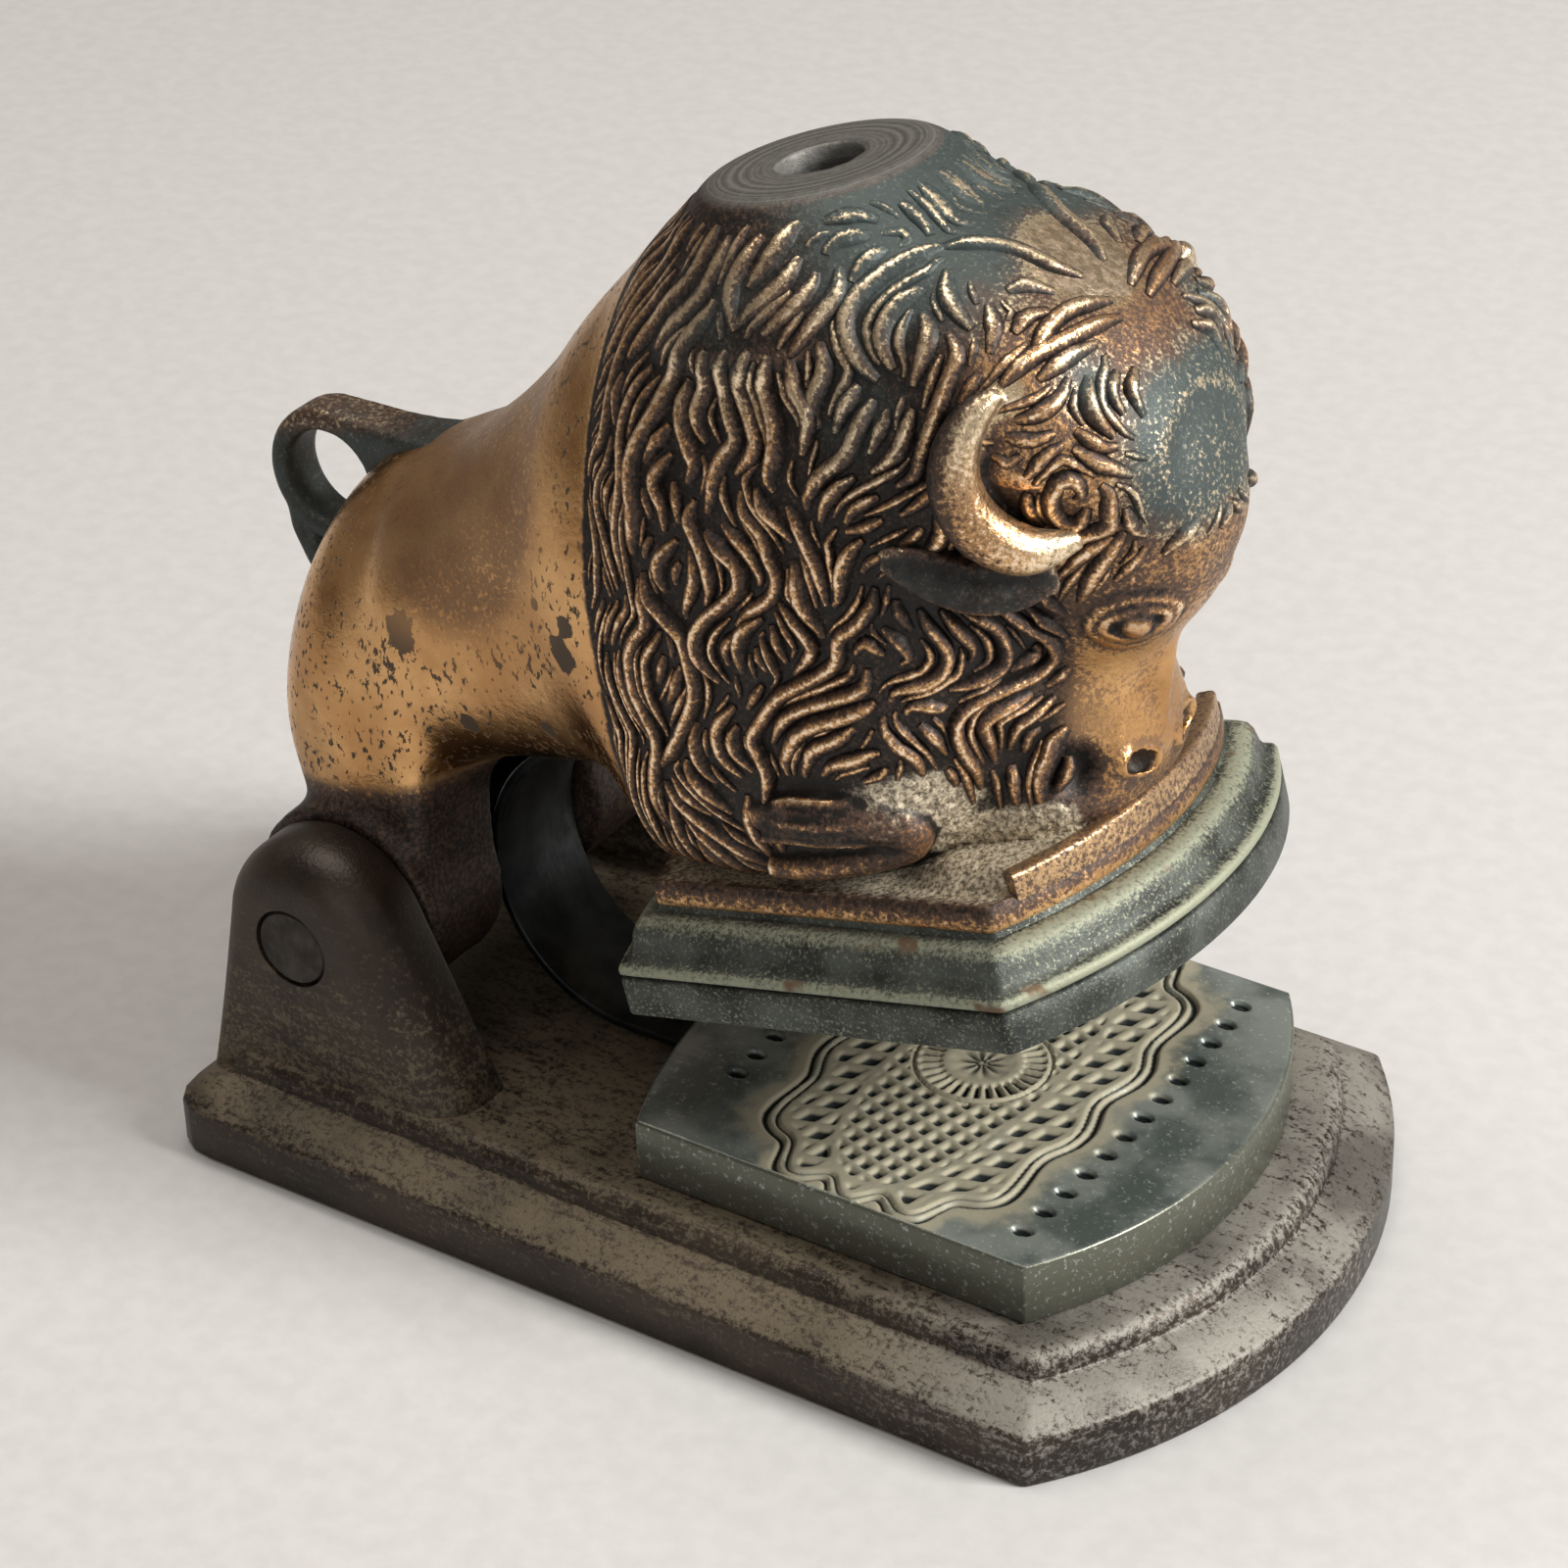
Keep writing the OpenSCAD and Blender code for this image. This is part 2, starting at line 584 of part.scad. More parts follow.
module bison_casting() color(copper) at_rest() difference() {
    union() {
        lofted([for (s = sections) ring(s)]);
        lofted([for (f = face) face_ring(f)]);
        plinth();
        translate([pad_x, 0, hump_h - pad_t]) cylinder(h = pad_t, d1 = pad_d + 2*pad_t, d2 = pad_d);
        mirrored_y() {
            horn();
            bison_ear();
            foreleg();
            for (k = locks) lock(k[0], k[1], k[2], k[3]);
            translate([0, (slot_half + lug_half)/2, 0])
                across(lug_r, lug_half - slot_half);
        }
    }
    across(pin_r + pin_play, 4*lug_half);
    // Slot between the hind legs, where the spring stands, up to the leaf's seat
    translate([-2*lug_r, -slot_half, -2*lug_r])
        cube([2*lug_r + leaf_end + spring_room, 2*slot_half, 2*lug_r + belly_h + leaf_seat]);
    translate([pad_x, 0, hump_h - knob_deep]) cylinder(h = knob_deep + eps, d = knob_d);
    screw_places(plate_mid)
        translate([0, 0, plinth_z - eps])
            cylinder(h = seat_deep + seat_play + eps, d = screw_d + 2*seat_play);
    dowel_places(plate_mid)
        translate([0, 0, plinth_z - eps])
            cylinder(h = seat_deep + eps, d = dowel_d + 2*seat_play);
}

module tail_loop() color(copper) at_rest() {
    strap_dip = 11;
    translate([-tail_back, 0, rump_h - tail_down]) {
        difference() {
            across(tail_r + tail_t, tail_w);
            across(tail_r, tail_w + 2*eps);
        }
        rotate([0, strap_dip, 0])
            translate([0, -tail_w/2, tail_r])
                cube([strap_l, tail_w, tail_t]);
    }
}

module moulded_plate() color(verdigris) at_rest() difference() {
    lip = 0.8;
    side_edge = concat([[0, mould_z]], s_slope(mould_in, mould_z + lip, plinth_z, -mould_swell, side_steps));
    end_edge = concat([[0, mould_z]], s_slope(mould_in, mould_z + lip, plinth_z, -mould_swell, end_steps));
    bowed_block(plate_rear, plate_front, die_half, die_bow, die_rear_bow, side_edge, end_edge);
    screw_places(plate_mid)
        translate([0, 0, mould_z - eps])
            cylinder(h = mould_h + 2*eps, d = screw_d + 2*seat_play);
    dowel_places(plate_mid)
        translate([0, 0, mould_z - eps])
            cylinder(h = mould_h + 2*eps, d = dowel_d + 2*seat_play);
}

module upper_die_plate() color(verdigris) at_rest() difference() {
    die_slab(plate_rear, plate_z, plate_t, 0);
    screw_places(plate_mid)
        translate([0, 0, plate_z - eps]) {
            cylinder(h = plate_t + 2*eps, d = screw_d + 2*seat_play);
            cylinder(h = head_t + seat_play + eps, d = head_d + 2*seat_play);
        }
    dowel_places(plate_mid)
        translate([0, 0, mould_z - dowel_in_plate])
            cylinder(h = dowel_in_plate + eps, d = dowel_d + 2*seat_play);
}

module counter_force() color(steel) at_rest() die_slab(plate_rear, force_z, force_t, force_in);

module plate_screws() color(steel) at_rest() screw_places(plate_mid)
    translate([0, 0, plate_z])
        screw(plate_t + mould_h + seat_deep);

module plate_dowels() color(steel) at_rest() dowel_places(plate_mid)
    translate([0, 0, mould_z - dowel_in_plate])
        cylinder(h = dowel_in_plate + mould_h + seat_deep, d = dowel_d);

base_casting();
lower_die();
lower_die_screws();
die_dowels();
pivot_pin();
return_spring();
spring_screw();
bison_casting();
tail_loop();
moulded_plate();
upper_die_plate();
counter_force();
plate_screws();
plate_dowels();
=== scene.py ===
import json
import math
import random

import bpy
import numpy as np
from mathutils import Matrix, Vector, noise
from mathutils.bvhtree import BVHTree
from mathutils.kdtree import KDTree


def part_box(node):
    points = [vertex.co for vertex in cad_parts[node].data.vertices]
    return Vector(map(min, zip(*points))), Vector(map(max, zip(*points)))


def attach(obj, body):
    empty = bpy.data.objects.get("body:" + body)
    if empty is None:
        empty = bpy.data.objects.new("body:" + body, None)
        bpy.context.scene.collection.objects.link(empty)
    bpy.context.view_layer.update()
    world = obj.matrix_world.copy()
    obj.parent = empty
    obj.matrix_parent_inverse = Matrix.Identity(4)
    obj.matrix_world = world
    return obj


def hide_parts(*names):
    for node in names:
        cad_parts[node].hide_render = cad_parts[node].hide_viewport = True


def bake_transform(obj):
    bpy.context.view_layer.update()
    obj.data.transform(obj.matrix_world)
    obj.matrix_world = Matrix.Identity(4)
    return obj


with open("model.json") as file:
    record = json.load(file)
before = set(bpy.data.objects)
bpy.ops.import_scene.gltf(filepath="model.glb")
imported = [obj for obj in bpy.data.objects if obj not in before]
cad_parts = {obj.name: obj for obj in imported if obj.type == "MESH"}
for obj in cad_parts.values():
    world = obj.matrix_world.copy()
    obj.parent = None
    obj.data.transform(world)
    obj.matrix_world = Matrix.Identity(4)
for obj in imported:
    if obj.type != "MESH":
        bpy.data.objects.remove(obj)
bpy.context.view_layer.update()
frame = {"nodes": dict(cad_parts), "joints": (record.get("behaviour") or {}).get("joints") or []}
scene = bpy.context.scene
mm = 0.001

# Base pieces are laid out in millimetres from the frame's origin. Lever pieces are laid out level,
# in millimetres from the pin, and tipped open to where the frame has them at rest.
hinge = frame["joints"][0]
openAngle = math.radians(hinge["range_deg"][1])
fromBase = Matrix.Scale(mm, 4)
fromLever = Matrix.Translation(hinge["pos_m"]) @ Matrix.Rotation(-openAngle, 4, "Y") @ Matrix.Scale(mm, 4)
toLever = fromLever.inverted()
pinX, pinZ = hinge["pos_m"][0] / mm, hinge["pos_m"][2] / mm
print("frame loaded:", len(frame["nodes"]), "nodes")


# Small mesh tools
def joined(parts):
    verts, faces = [], []
    for partVerts, partFaces in parts:
        shift = len(verts)
        verts.extend(partVerts)
        faces.extend([tuple(i + shift for i in face) for face in partFaces])
    return verts, faces


def looseObject(name, part):
    mesh = bpy.data.meshes.new(name)
    mesh.from_pydata([tuple(v) for v in part[0]], [], part[1])
    mesh.validate()
    obj = bpy.data.objects.new(name, mesh)
    scene.collection.objects.link(obj)
    return obj


def finishPiece(obj, place, body, finish, sharpDeg=38):
    obj.data.transform(place)
    obj.data.shade_smooth()
    obj.data.set_sharp_from_angle(angle=math.radians(sharpDeg))
    obj.data.materials.clear()
    obj.data.materials.append(finish)
    if body:
        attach(obj, body)


def setPaint(obj, name, values):
    layer = obj.data.attributes.new(name, "FLOAT", "POINT")
    layer.data.foreach_set("value", np.asarray(values, np.float32))


def applyModifiers(obj):
    graph = bpy.context.evaluated_depsgraph_get()
    mesh = bpy.data.meshes.new_from_object(obj.evaluated_get(graph))
    obj.modifiers.clear()
    old = obj.data
    obj.data = mesh
    bpy.data.meshes.remove(old)


def loft(rings):
    # closed skin over rings of as many points each, with a face over the first and the last
    count = len(rings[0])
    verts = [p for ring in rings for p in ring]
    faces = []
    for k in range(len(rings) - 1):
        for i in range(count):
            j = (i + 1) % count
            faces.append((k * count + i, k * count + j, (k + 1) * count + j, (k + 1) * count + i))
    faces.append(tuple(reversed(range(count))))
    faces.append(tuple(range((len(rings) - 1) * count, len(rings) * count)))
    return verts, faces


def circle(sides):
    # cosine and sine of each step round a circle
    return [(math.cos(2 * math.pi * i / sides), math.sin(2 * math.pi * i / sides)) for i in range(sides)]


def sweep(points, ups, sections):
    # sections: one closed list of (across, up) offsets for each point
    points = [Vector(p) for p in points]
    rings = []
    for k, point in enumerate(points):
        ahead = (points[min(k + 1, len(points) - 1)] - points[max(k - 1, 0)]).normalized()
        side = ahead.cross(Vector(ups[k])).normalized()
        up = side.cross(ahead)
        rings.append([point + side * a + up * b for a, b in sections[k]])
    return loft(rings)


def ovalSection(wide, high, sides=8):
    return [(wide * c, high * s) for c, s in circle(sides)]


def barSection(wide, high, edge, steps=3):
    # bar of that width and height with rounded edges
    section = []
    for cx, cz, start in ((1, 1, 0), (-1, 1, 90), (-1, -1, 180), (1, -1, 270)):
        for s in range(steps + 1):
            a = math.radians(start + 90 * s / steps)
            across = cx * (wide / 2 - edge) + edge * math.cos(a)
            section.append((across, cz * (high / 2 - edge) + edge * math.sin(a)))
    return section


def curveThrough(points, steps):
    # curve through points or rows of numbers, with that many steps between two of them
    pts = [2 * points[0] - points[1]] + points + [2 * points[-1] - points[-2]]
    curve = []
    for k in range(1, len(pts) - 2):
        a, b, c, d = pts[k - 1:k + 3]
        for s in range(steps):
            t = s / steps
            curve.append(0.5 * (2 * b + (c - a) * t + (2 * a - 5 * b + 4 * c - d) * t * t
                                + (3 * b - a - 3 * c + d) * t ** 3))
    curve.append(pts[-2])
    return curve


def smoothLine(points, steps):
    return curveThrough([Vector(p) for p in points], steps)


def smoothRows(rows, steps):
    return curveThrough([np.array(row, float) for row in rows], steps)


def smoothValues(values, steps):
    return [float(row[0]) for row in smoothRows([(value,) for value in values], steps)]


def ball(centre, radius, rings=14, sides=20):
    circles = []
    for k in range(1, rings):
        a = math.pi * k / rings
        out, up = radius * math.sin(a), -radius * math.cos(a)
        circles.append([centre + Vector((out * c, out * s, up)) for c, s in circle(sides)])
    return loft(circles)


def mirroredPart(part):
    return [Vector((v[0], -v[1], v[2])) for v in part[0]], [tuple(reversed(f)) for f in part[1]]


# Outline of the base and of the plates: straight sides, bowed ends, corners a little rounded
def bowedOutline(shape, inset, corner=0.4, perSide=8, perBow=30):
    half = shape["half"] - inset

    def bowRun(at, bow, ahead):
        if bow == 0:
            x = at - ahead * inset
            return [(x, -half), (x, half)], None
        radius = (shape["half"] ** 2 + bow ** 2) / (2 * bow)
        centre = at + ahead * (bow - radius)
        reach = math.asin(half / (radius - inset))
        x = centre + ahead * (radius - inset) * math.cos(reach)
        return [(x, -half), (x, half)], (centre, radius - inset, reach, ahead)

    def bowPoints(run, curve, backwards, trim):
        x, low, high = run[0][0], run[0][1], run[1][1]
        points = []
        for k in range(perBow + 1):
            t = k / perBow
            if curve:
                centre, radius, reach, ahead = curve
                a = (reach - trim / radius) * (2 * t - 1)
                points.append((centre + ahead * radius * math.cos(a), radius * math.sin(a)))
            else:
                points.append((x, (low + trim) + (high - low - 2 * trim) * t))
        return points[::-1] if backwards else points

    front, frontCurve = bowRun(shape["front"], shape["bowFront"], 1)
    rear, rearCurve = bowRun(shape["rear"], shape["bowRear"], -1)
    rearCorner = max(shape.get("rearCorner", corner) - inset, corner)
    runs = []
    for y, x0, x1, c0, c1 in ((-half, rear[0][0], front[0][0], rearCorner, corner),
                              (half, front[1][0], rear[1][0], corner, rearCorner)):
        sign = 1 if x1 > x0 else -1
        a, b = x0 + sign * c0, x1 - sign * c1
        runs.append([(a + (b - a) * k / perSide, y) for k in range(perSide + 1)])
    runs = [runs[0], bowPoints(front, frontCurve, False, corner), runs[1],
            bowPoints(rear, rearCurve, True, rearCorner)]
    corners = [front[0], front[1], rear[1], rear[0]]
    outline = []
    for run, (cx, cy), after in zip(runs, corners, runs[1:] + runs[:1]):
        outline.extend(run)
        (ax, ay), (bx, by) = run[-1], after[0]
        # a curve of three points rounds the corner
        for t in (0.25, 0.5, 0.75):
            u = 1 - t
            outline.append((u * u * ax + 2 * u * t * cx + t * t * bx,
                            u * u * ay + 2 * u * t * cy + t * t * by))
    return outline


def mouldedBlock(shape, profile, **detail):
    # profile: (inset, height) from the bottom face's rim, up and over to the top face's rim
    return loft([[(x, y, z) for x, y in bowedOutline(shape, inset, **detail)] for inset, z in profile])


def ringPaint(shape, values, **detail):
    # the same value for every point of a profile's ring
    return np.repeat(values, len(bowedOutline(shape, 0, **detail)))


# Sizes of the bison casting, laid out level; its finish needs the pad's place
bison = dict(
    lugRadius=10.3, lugIn=7.6, lugOut=18.6, bore=4.3, slotX=27.3, slotZ=12.2,
    padX=61.0, padZ=65.2, padRadius=9.6, holeRadius=3.75, holeDeep=9.0, slim=0.5, slimFrom=40, slimOver=3,
    bodySides=72, faceSides=48, faceFrom=66, faceBehind=4, faceSquare=0.8, rowSteps=3,
    # how far the cutters reach past the casting
    past=20, boreHalf=30, topCut=(30, 80), topHigh=10, holeOver=3,
    shoulder=[(14.5, 48.5), (17.4, 51.6), (18.4, 54.5), (16.2, 58.4), (14.2, 61), (12.2, 63.2), (10.6, 64.6)],
    coarse=0.6, coarseSmooth=6, fine=0.36, fineSmooth=1, fineEase=0.35, riseRounds=14)


# Finishes
class Finish:
    def __init__(self, name, **sockets):
        self.material = bpy.data.materials.new(name)
        self.material.use_nodes = True
        self.tree = self.material.node_tree
        self.shader = self.tree.nodes["Principled BSDF"]
        for socket, value in sockets.items():
            self.shader.inputs[socket.replace("_", " ")].default_value = value
        self.spot = self.tree.nodes.new("ShaderNodeTexCoord").outputs["Object"]

    def node(self, kind, settings=None, **plugs):
        node = self.tree.nodes.new(kind)
        for key, value in (settings or {}).items():
            setattr(node, key, value)
        for key, value in plugs.items():
            self.feed(node.inputs[key.replace("_", " ")], value)
        return node

    def feed(self, socket, value):
        if isinstance(value, bpy.types.NodeSocket):
            self.tree.links.new(value, socket)
        else:
            socket.default_value = value

    def paint(self, name):
        return self.node("ShaderNodeAttribute", {"attribute_name": name}).outputs["Fac"]

    def grain(self, size, detail=3.0, rough=0.55, stretch=None, turn=(0, 0, 0), warp=0.0):
        # noise whose patches are about size millimetres across
        spot = self.spot
        if stretch:
            spot = self.node("ShaderNodeMapping", Vector=spot, Scale=stretch, Rotation=turn)
            spot = spot.outputs["Vector"]
        return self.node("ShaderNodeTexNoise", Vector=spot, Scale=1 / (size * mm), Detail=detail,
                         Roughness=rough, Distortion=warp).outputs["Fac"]

    def range(self, value, low, high, toLow=0.0, toHigh=1.0):
        limits = dict(From_Min=low, From_Max=high, To_Min=toLow, To_Max=toHigh)
        return self.node("ShaderNodeMapRange", {"interpolation_type": "SMOOTHSTEP"}, Value=value,
                         **limits).outputs["Result"]

    def sum(self, kind, a, b):
        node = self.node("ShaderNodeMath", {"operation": kind})
        self.feed(node.inputs[0], a)
        self.feed(node.inputs[1], b)
        return node.outputs[0]

    def stray(self, grain, much):
        # a grain's departure from its middle
        return self.sum("MULTIPLY", self.sum("SUBTRACT", grain, 0.5), much)

    def away(self, place):
        # distance from a point of the lever's layout, in metres
        node = self.node("ShaderNodeVectorMath", {"operation": "DISTANCE"})
        self.feed(node.inputs[0], self.spot)
        node.inputs[1].default_value = fromLever @ Vector(place)
        return node.outputs["Value"]

    def blend(self, share, a, b):
        node = self.node("ShaderNodeMix", {"data_type": "RGBA"})
        for index, value in ((0, share), (6, a), (7, b)):
            colour = (*value, 1) if isinstance(value, tuple) else value
            self.feed(node.inputs[index], colour)
        return node.outputs[2]

    def level(self, share, a, b):
        node = self.node("ShaderNodeMix", {"data_type": "FLOAT"})
        for index, value in ((0, share), (2, a), (3, b)):
            self.feed(node.inputs[index], value)
        return node.outputs[0]

    def rough(self, height, strength, depth):
        # bump of that depth in millimetres
        bump = self.node("ShaderNodeBump", Height=height, Strength=strength, Distance=depth * mm)
        self.feed(self.shader.inputs["Normal"], bump.outputs["Normal"])

    def set(self, **sockets):
        for socket, value in sockets.items():
            self.feed(self.shader.inputs[socket.replace("_", " ")], value)
        return self.material


def darkPatch(finish, centre, radius, wobble):
    # 1 close to a point of the lever's layout, 0 away from it, with a wavering edge
    reach = radius * mm
    ragged = finish.sum("MULTIPLY_ADD", wobble, 3.2 * reach)
    ragged.node.inputs[2].default_value = -1.6 * reach
    return finish.range(finish.sum("ADD", finish.away(centre), ragged), 1.02 * reach, 0.94 * reach)


copperLook = dict(
    bright=(0.76, 0.45, 0.205), warm=(0.5, 0.265, 0.108), brass=(0.74, 0.61, 0.4), crestHighlight=(1.0, 0.8, 0.6),
    slope=(0.09, 0.052, 0.036), recess=(0.009, 0.007, 0.006), fleck=(0.014, 0.016, 0.016),
    verdigris=(0.045, 0.06, 0.06), paleVerdigris=(0.17, 0.195, 0.175),
    filed=(0.16, 0.16, 0.15), fileStep=0.5, earth=(0.17, 0.14, 0.1), paleEarth=(0.76, 0.67, 0.51),
    # dark patches on the flanks: place and radius
    patches=[((15.7, -17.0, 27.9), 1.9), ((17.2, -15.4, 33.8), 1.3), ((36.4, -19.7, 28.4), 1.5),
             ((37.4, -19.8, 30.6), 1.0), ((34.0, -19.0, 32.6), 0.7), ((20.0, -16.4, 18.8), 0.8),
             ((29.7, -17.1, 19.2), 0.7), ((24, 16.5, 30), 1.8), ((10, 17, 24), 1.3)])


def wornCopper():
    look = copperLook
    f = Finish("wornCopper")
    relief, handled, green = f.paint("relief"), f.paint("handled"), f.paint("verdigris")
    filed, dusty = f.paint("filed"), f.paint("dusty")
    broad, fine, speck = f.grain(9, 4), f.grain(0.9, 4, 0.62), f.grain(0.42, 3, 0.72)
    # worn ridges are bright, their slopes brown, and the hollows between them keep their dark patina, made
    # darker still as painted shade
    ridge = f.sum("ADD", relief, f.sum("ADD", f.stray(fine, 0.5), f.stray(speck, 1.5)))
    worn = f.sum("MAXIMUM", f.range(ridge, 0.5, 0.86), f.range(handled, 0.35, 0.75))
    metal = f.blend(f.range(broad, 0.35, 0.7), look["warm"], look["bright"])
    metal = f.blend(f.range(green, 0.12, 0.5), metal, look["brass"])
    # painted highlight: the highest crests that are not handled take a near-white pink colour for the glint
    # of light on them, over their worn bright metal
    crestHighlight = f.sum("MULTIPLY", f.range(ridge, 0.8, 1.02), f.range(handled, 0.3, 0.1))
    metal = f.blend(crestHighlight, metal, look["crestHighlight"])
    # dark flecks in the smooth metal, thicker in some places than in others
    flecks = f.range(f.sum("ADD", f.grain(0.62, 3, 0.6, (1, 1, 0.6), (0, 0.7, 0)),
                           f.sum("MULTIPLY", f.grain(6, 2), 0.32)), 0.75, 0.8)
    edge = f.grain(2.2, 3, 0.5)
    for centre, radius in look["patches"]:
        flecks = f.sum("MAXIMUM", flecks, darkPatch(f, centre, radius, edge))
    flecks = f.sum("MULTIPLY", flecks, f.range(handled, 0.4, 0.9))
    colour = f.blend(f.range(ridge, 0.05, 0.5), look["recess"], look["slope"])
    colour = f.blend(worn, colour, metal)
    colour = f.blend(f.sum("MULTIPLY", flecks, 0.9), colour, look["fleck"])
    # grey-green patina on the crown and the forehead, rubbed through on the ridges
    film = f.range(f.sum("ADD", green, f.stray(f.grain(3.6, 6, 0.75), 1.2)), 0.25, 0.95)
    film = f.sum("MULTIPLY", film, f.range(ridge, 1.0, 0.62, 0.12, 1.0))
    pale = f.sum("ADD", speck, f.sum("MULTIPLY", relief, 0.1))
    patina = f.blend(f.range(pale, 0.56, 0.8), look["verdigris"], look["paleVerdigris"])
    colour = f.blend(film, colour, patina)
    # grainy ground under the bison
    soil = f.range(f.sum("ADD", dusty, f.stray(fine, 0.8)), 0.3, 0.7)
    colour = f.blend(soil, colour, f.blend(f.range(speck, 0.36, 0.64), look["earth"], look["paleEarth"]))
    # the pad was filed flat in rings
    fromHole = f.away((bison["padX"], 0, bison["padZ"]))
    rings = f.node("ShaderNodeTexNoise", {"noise_dimensions": "1D"}, W=fromHole,
                   Scale=1 / (look["fileStep"] * mm)).outputs["Fac"]
    marks = f.range(f.sum("ADD", rings, f.sum("MULTIPLY", fine, 0.5)), 0.55, 0.95)
    darkFiled = tuple(c * 0.5 for c in look["filed"])
    colour = f.blend(filed, colour, f.blend(marks, darkFiled, look["filed"]))
    dull = f.sum("MAXIMUM", f.sum("MAXIMUM", film, flecks), f.sum("MAXIMUM", soil, filed))
    bare = f.sum("MULTIPLY", worn, f.sum("SUBTRACT", 1.0, dull))
    polish = f.level(handled, f.range(fine, 0.3, 0.7, 0.24, 0.38), f.range(broad, 0.3, 0.7, 0.2, 0.3))
    bumps = f.sum("ADD", f.sum("MULTIPLY", speck, f.range(handled, 0.3, 0.8, 1.3, 0.15)), fine)
    f.rough(f.sum("SUBTRACT", bumps, f.sum("MULTIPLY", flecks, 1.2)), 0.4, 0.14)
    return f.set(Base_Color=colour, Metallic=f.range(bare, 0, 1, 0.35, 1.0),
                 Roughness=f.level(bare, 0.52, polish))


bronzeLook = dict(dark=(0.024, 0.018, 0.014), brown=(0.055, 0.04, 0.03), dust=(0.16, 0.133, 0.092),
                  silver=(0.27, 0.26, 0.235), silverFrom=15, silverTo=45, rub=(0.13, 0.085, 0.055))


def darkBronze():
    look = bronzeLook
    f = Finish("darkBronze", Metallic=0.55)
    dusty, edge = f.paint("dust"), f.paint("wear")
    broad, fine = f.grain(11, 3), f.grain(0.35, 2)
    speckle = f.sum("ADD", f.sum("MULTIPLY", f.grain(0.55, 4, 0.75, warp=0.4), 0.6),
                    f.sum("MULTIPLY", f.grain(0.9, 4, 0.75, (0.22, 1, 1)), 0.4))
    colour = f.blend(f.range(broad, 0.35, 0.68), look["dark"], look["brown"])
    # the speckle turns from khaki at the rear to silvery round the front
    along = f.node("ShaderNodeSeparateXYZ", Vector=f.spot).outputs["X"]
    along = f.range(along, look["silverFrom"] * mm, look["silverTo"] * mm)
    dusty = f.sum("ADD", dusty, f.sum("MULTIPLY", along, 0.2))
    grit = f.range(f.sum("ADD", speckle, f.stray(dusty, 0.16)), 0.46, 0.59)
    grit = f.sum("MULTIPLY", grit, f.range(dusty, 0.02, 0.3))
    grit = f.sum("MULTIPLY", grit, f.range(broad, 0.3, 0.55, 0.45, 1.0))
    colour = f.blend(grit, colour, f.blend(along, look["dust"], look["silver"]))
    rubbed = f.range(f.sum("ADD", edge, f.stray(f.grain(2.5, 3), 0.7)), 0.55, 0.85)
    colour = f.blend(rubbed, colour, look["rub"])
    f.rough(f.sum("ADD", speckle, f.sum("MULTIPLY", fine, 0.5)), 0.5, 0.16)
    return f.set(Base_Color=colour, Roughness=f.level(grit, f.range(broad, 0.3, 0.7, 0.36, 0.5), 0.66))


verdigrisLook = dict(dark=(0.024, 0.028, 0.026), mid=(0.08, 0.092, 0.084), pale=(0.33, 0.35, 0.265),
                     rub=(0.16, 0.11, 0.07))


def verdigrisPlate():
    look = verdigrisLook
    f = Finish("verdigrisPlate", Metallic=0.5)
    edge = f.paint("wear")
    broad, speckle = f.grain(6, 4), f.grain(0.4, 4, 0.75)
    colour = f.blend(f.range(broad, 0.35, 0.65), look["dark"], look["mid"])
    bloom = f.range(f.sum("ADD", edge, f.stray(speckle, 2.0)), 0.45, 1.05)
    colour = f.blend(bloom, colour, look["pale"])
    spots = f.range(f.grain(0.34, 3, 0.8), 0.53, 0.66, 0, 0.75)
    spots = f.sum("MULTIPLY", spots, f.range(edge, 0, 0.3, 0.5, 1))
    colour = f.blend(spots, colour, look["pale"])
    rubbed = f.sum("MULTIPLY", f.range(f.grain(5, 3), 0.6, 0.68), f.range(edge, 0.3, 0.8))
    colour = f.blend(rubbed, colour, look["rub"])
    f.rough(speckle, 0.6, 0.14)
    return f.set(Base_Color=colour, Roughness=f.level(bloom, f.range(broad, 0.3, 0.7, 0.4, 0.52), 0.62))


dieLook = dict(face=(0.27, 0.305, 0.285), dark=(0.11, 0.135, 0.128), side=(0.11, 0.115, 0.09),
               dust=(0.4, 0.37, 0.27), pit=(0.012, 0.017, 0.017), spark=(0.42, 0.46, 0.45))


def engravedDie():
    look = dieLook
    f = Finish("engravedDie", Metallic=0.5)
    pit, dusty, side = f.paint("pit"), f.paint("dust"), f.paint("side")
    broad, speckle = f.grain(7, 4), f.grain(0.5, 3, 0.7)
    colour = f.blend(f.range(broad, 0.34, 0.62), look["dark"], look["face"])
    colour = f.blend(side, colour, look["side"])
    colour = f.blend(f.range(speckle, 0.56, 0.74), colour, look["spark"])
    powder = f.range(f.sum("ADD", dusty, f.stray(f.grain(1.8, 5, 0.65), 0.8)), 0.3, 0.75)
    colour = f.blend(f.sum("MULTIPLY", powder, 0.85), colour, look["dust"])
    colour = f.blend(f.range(pit, 0.35, 0.8), colour, look["pit"])
    f.rough(speckle, 0.3, 0.08)
    return f.set(Base_Color=colour, Roughness=f.level(powder, f.range(broad, 0.3, 0.7, 0.28, 0.42), 0.75))


def agedSteel(name, dark, light, size, low, high):
    # clouds of that size between two tones, and a roughness that runs from low to high
    f = Finish(name, Metallic=0.85)
    cloud, hair = f.grain(size, 4), f.grain(0.5, 3, 0.6, (1, 1, 0.15))
    f.rough(hair, 0.25, 0.06)
    colour = f.blend(f.range(cloud, 0.32, 0.68), dark, light)
    return f.set(Base_Color=colour, Roughness=f.range(hair, 0.3, 0.7, low, high))


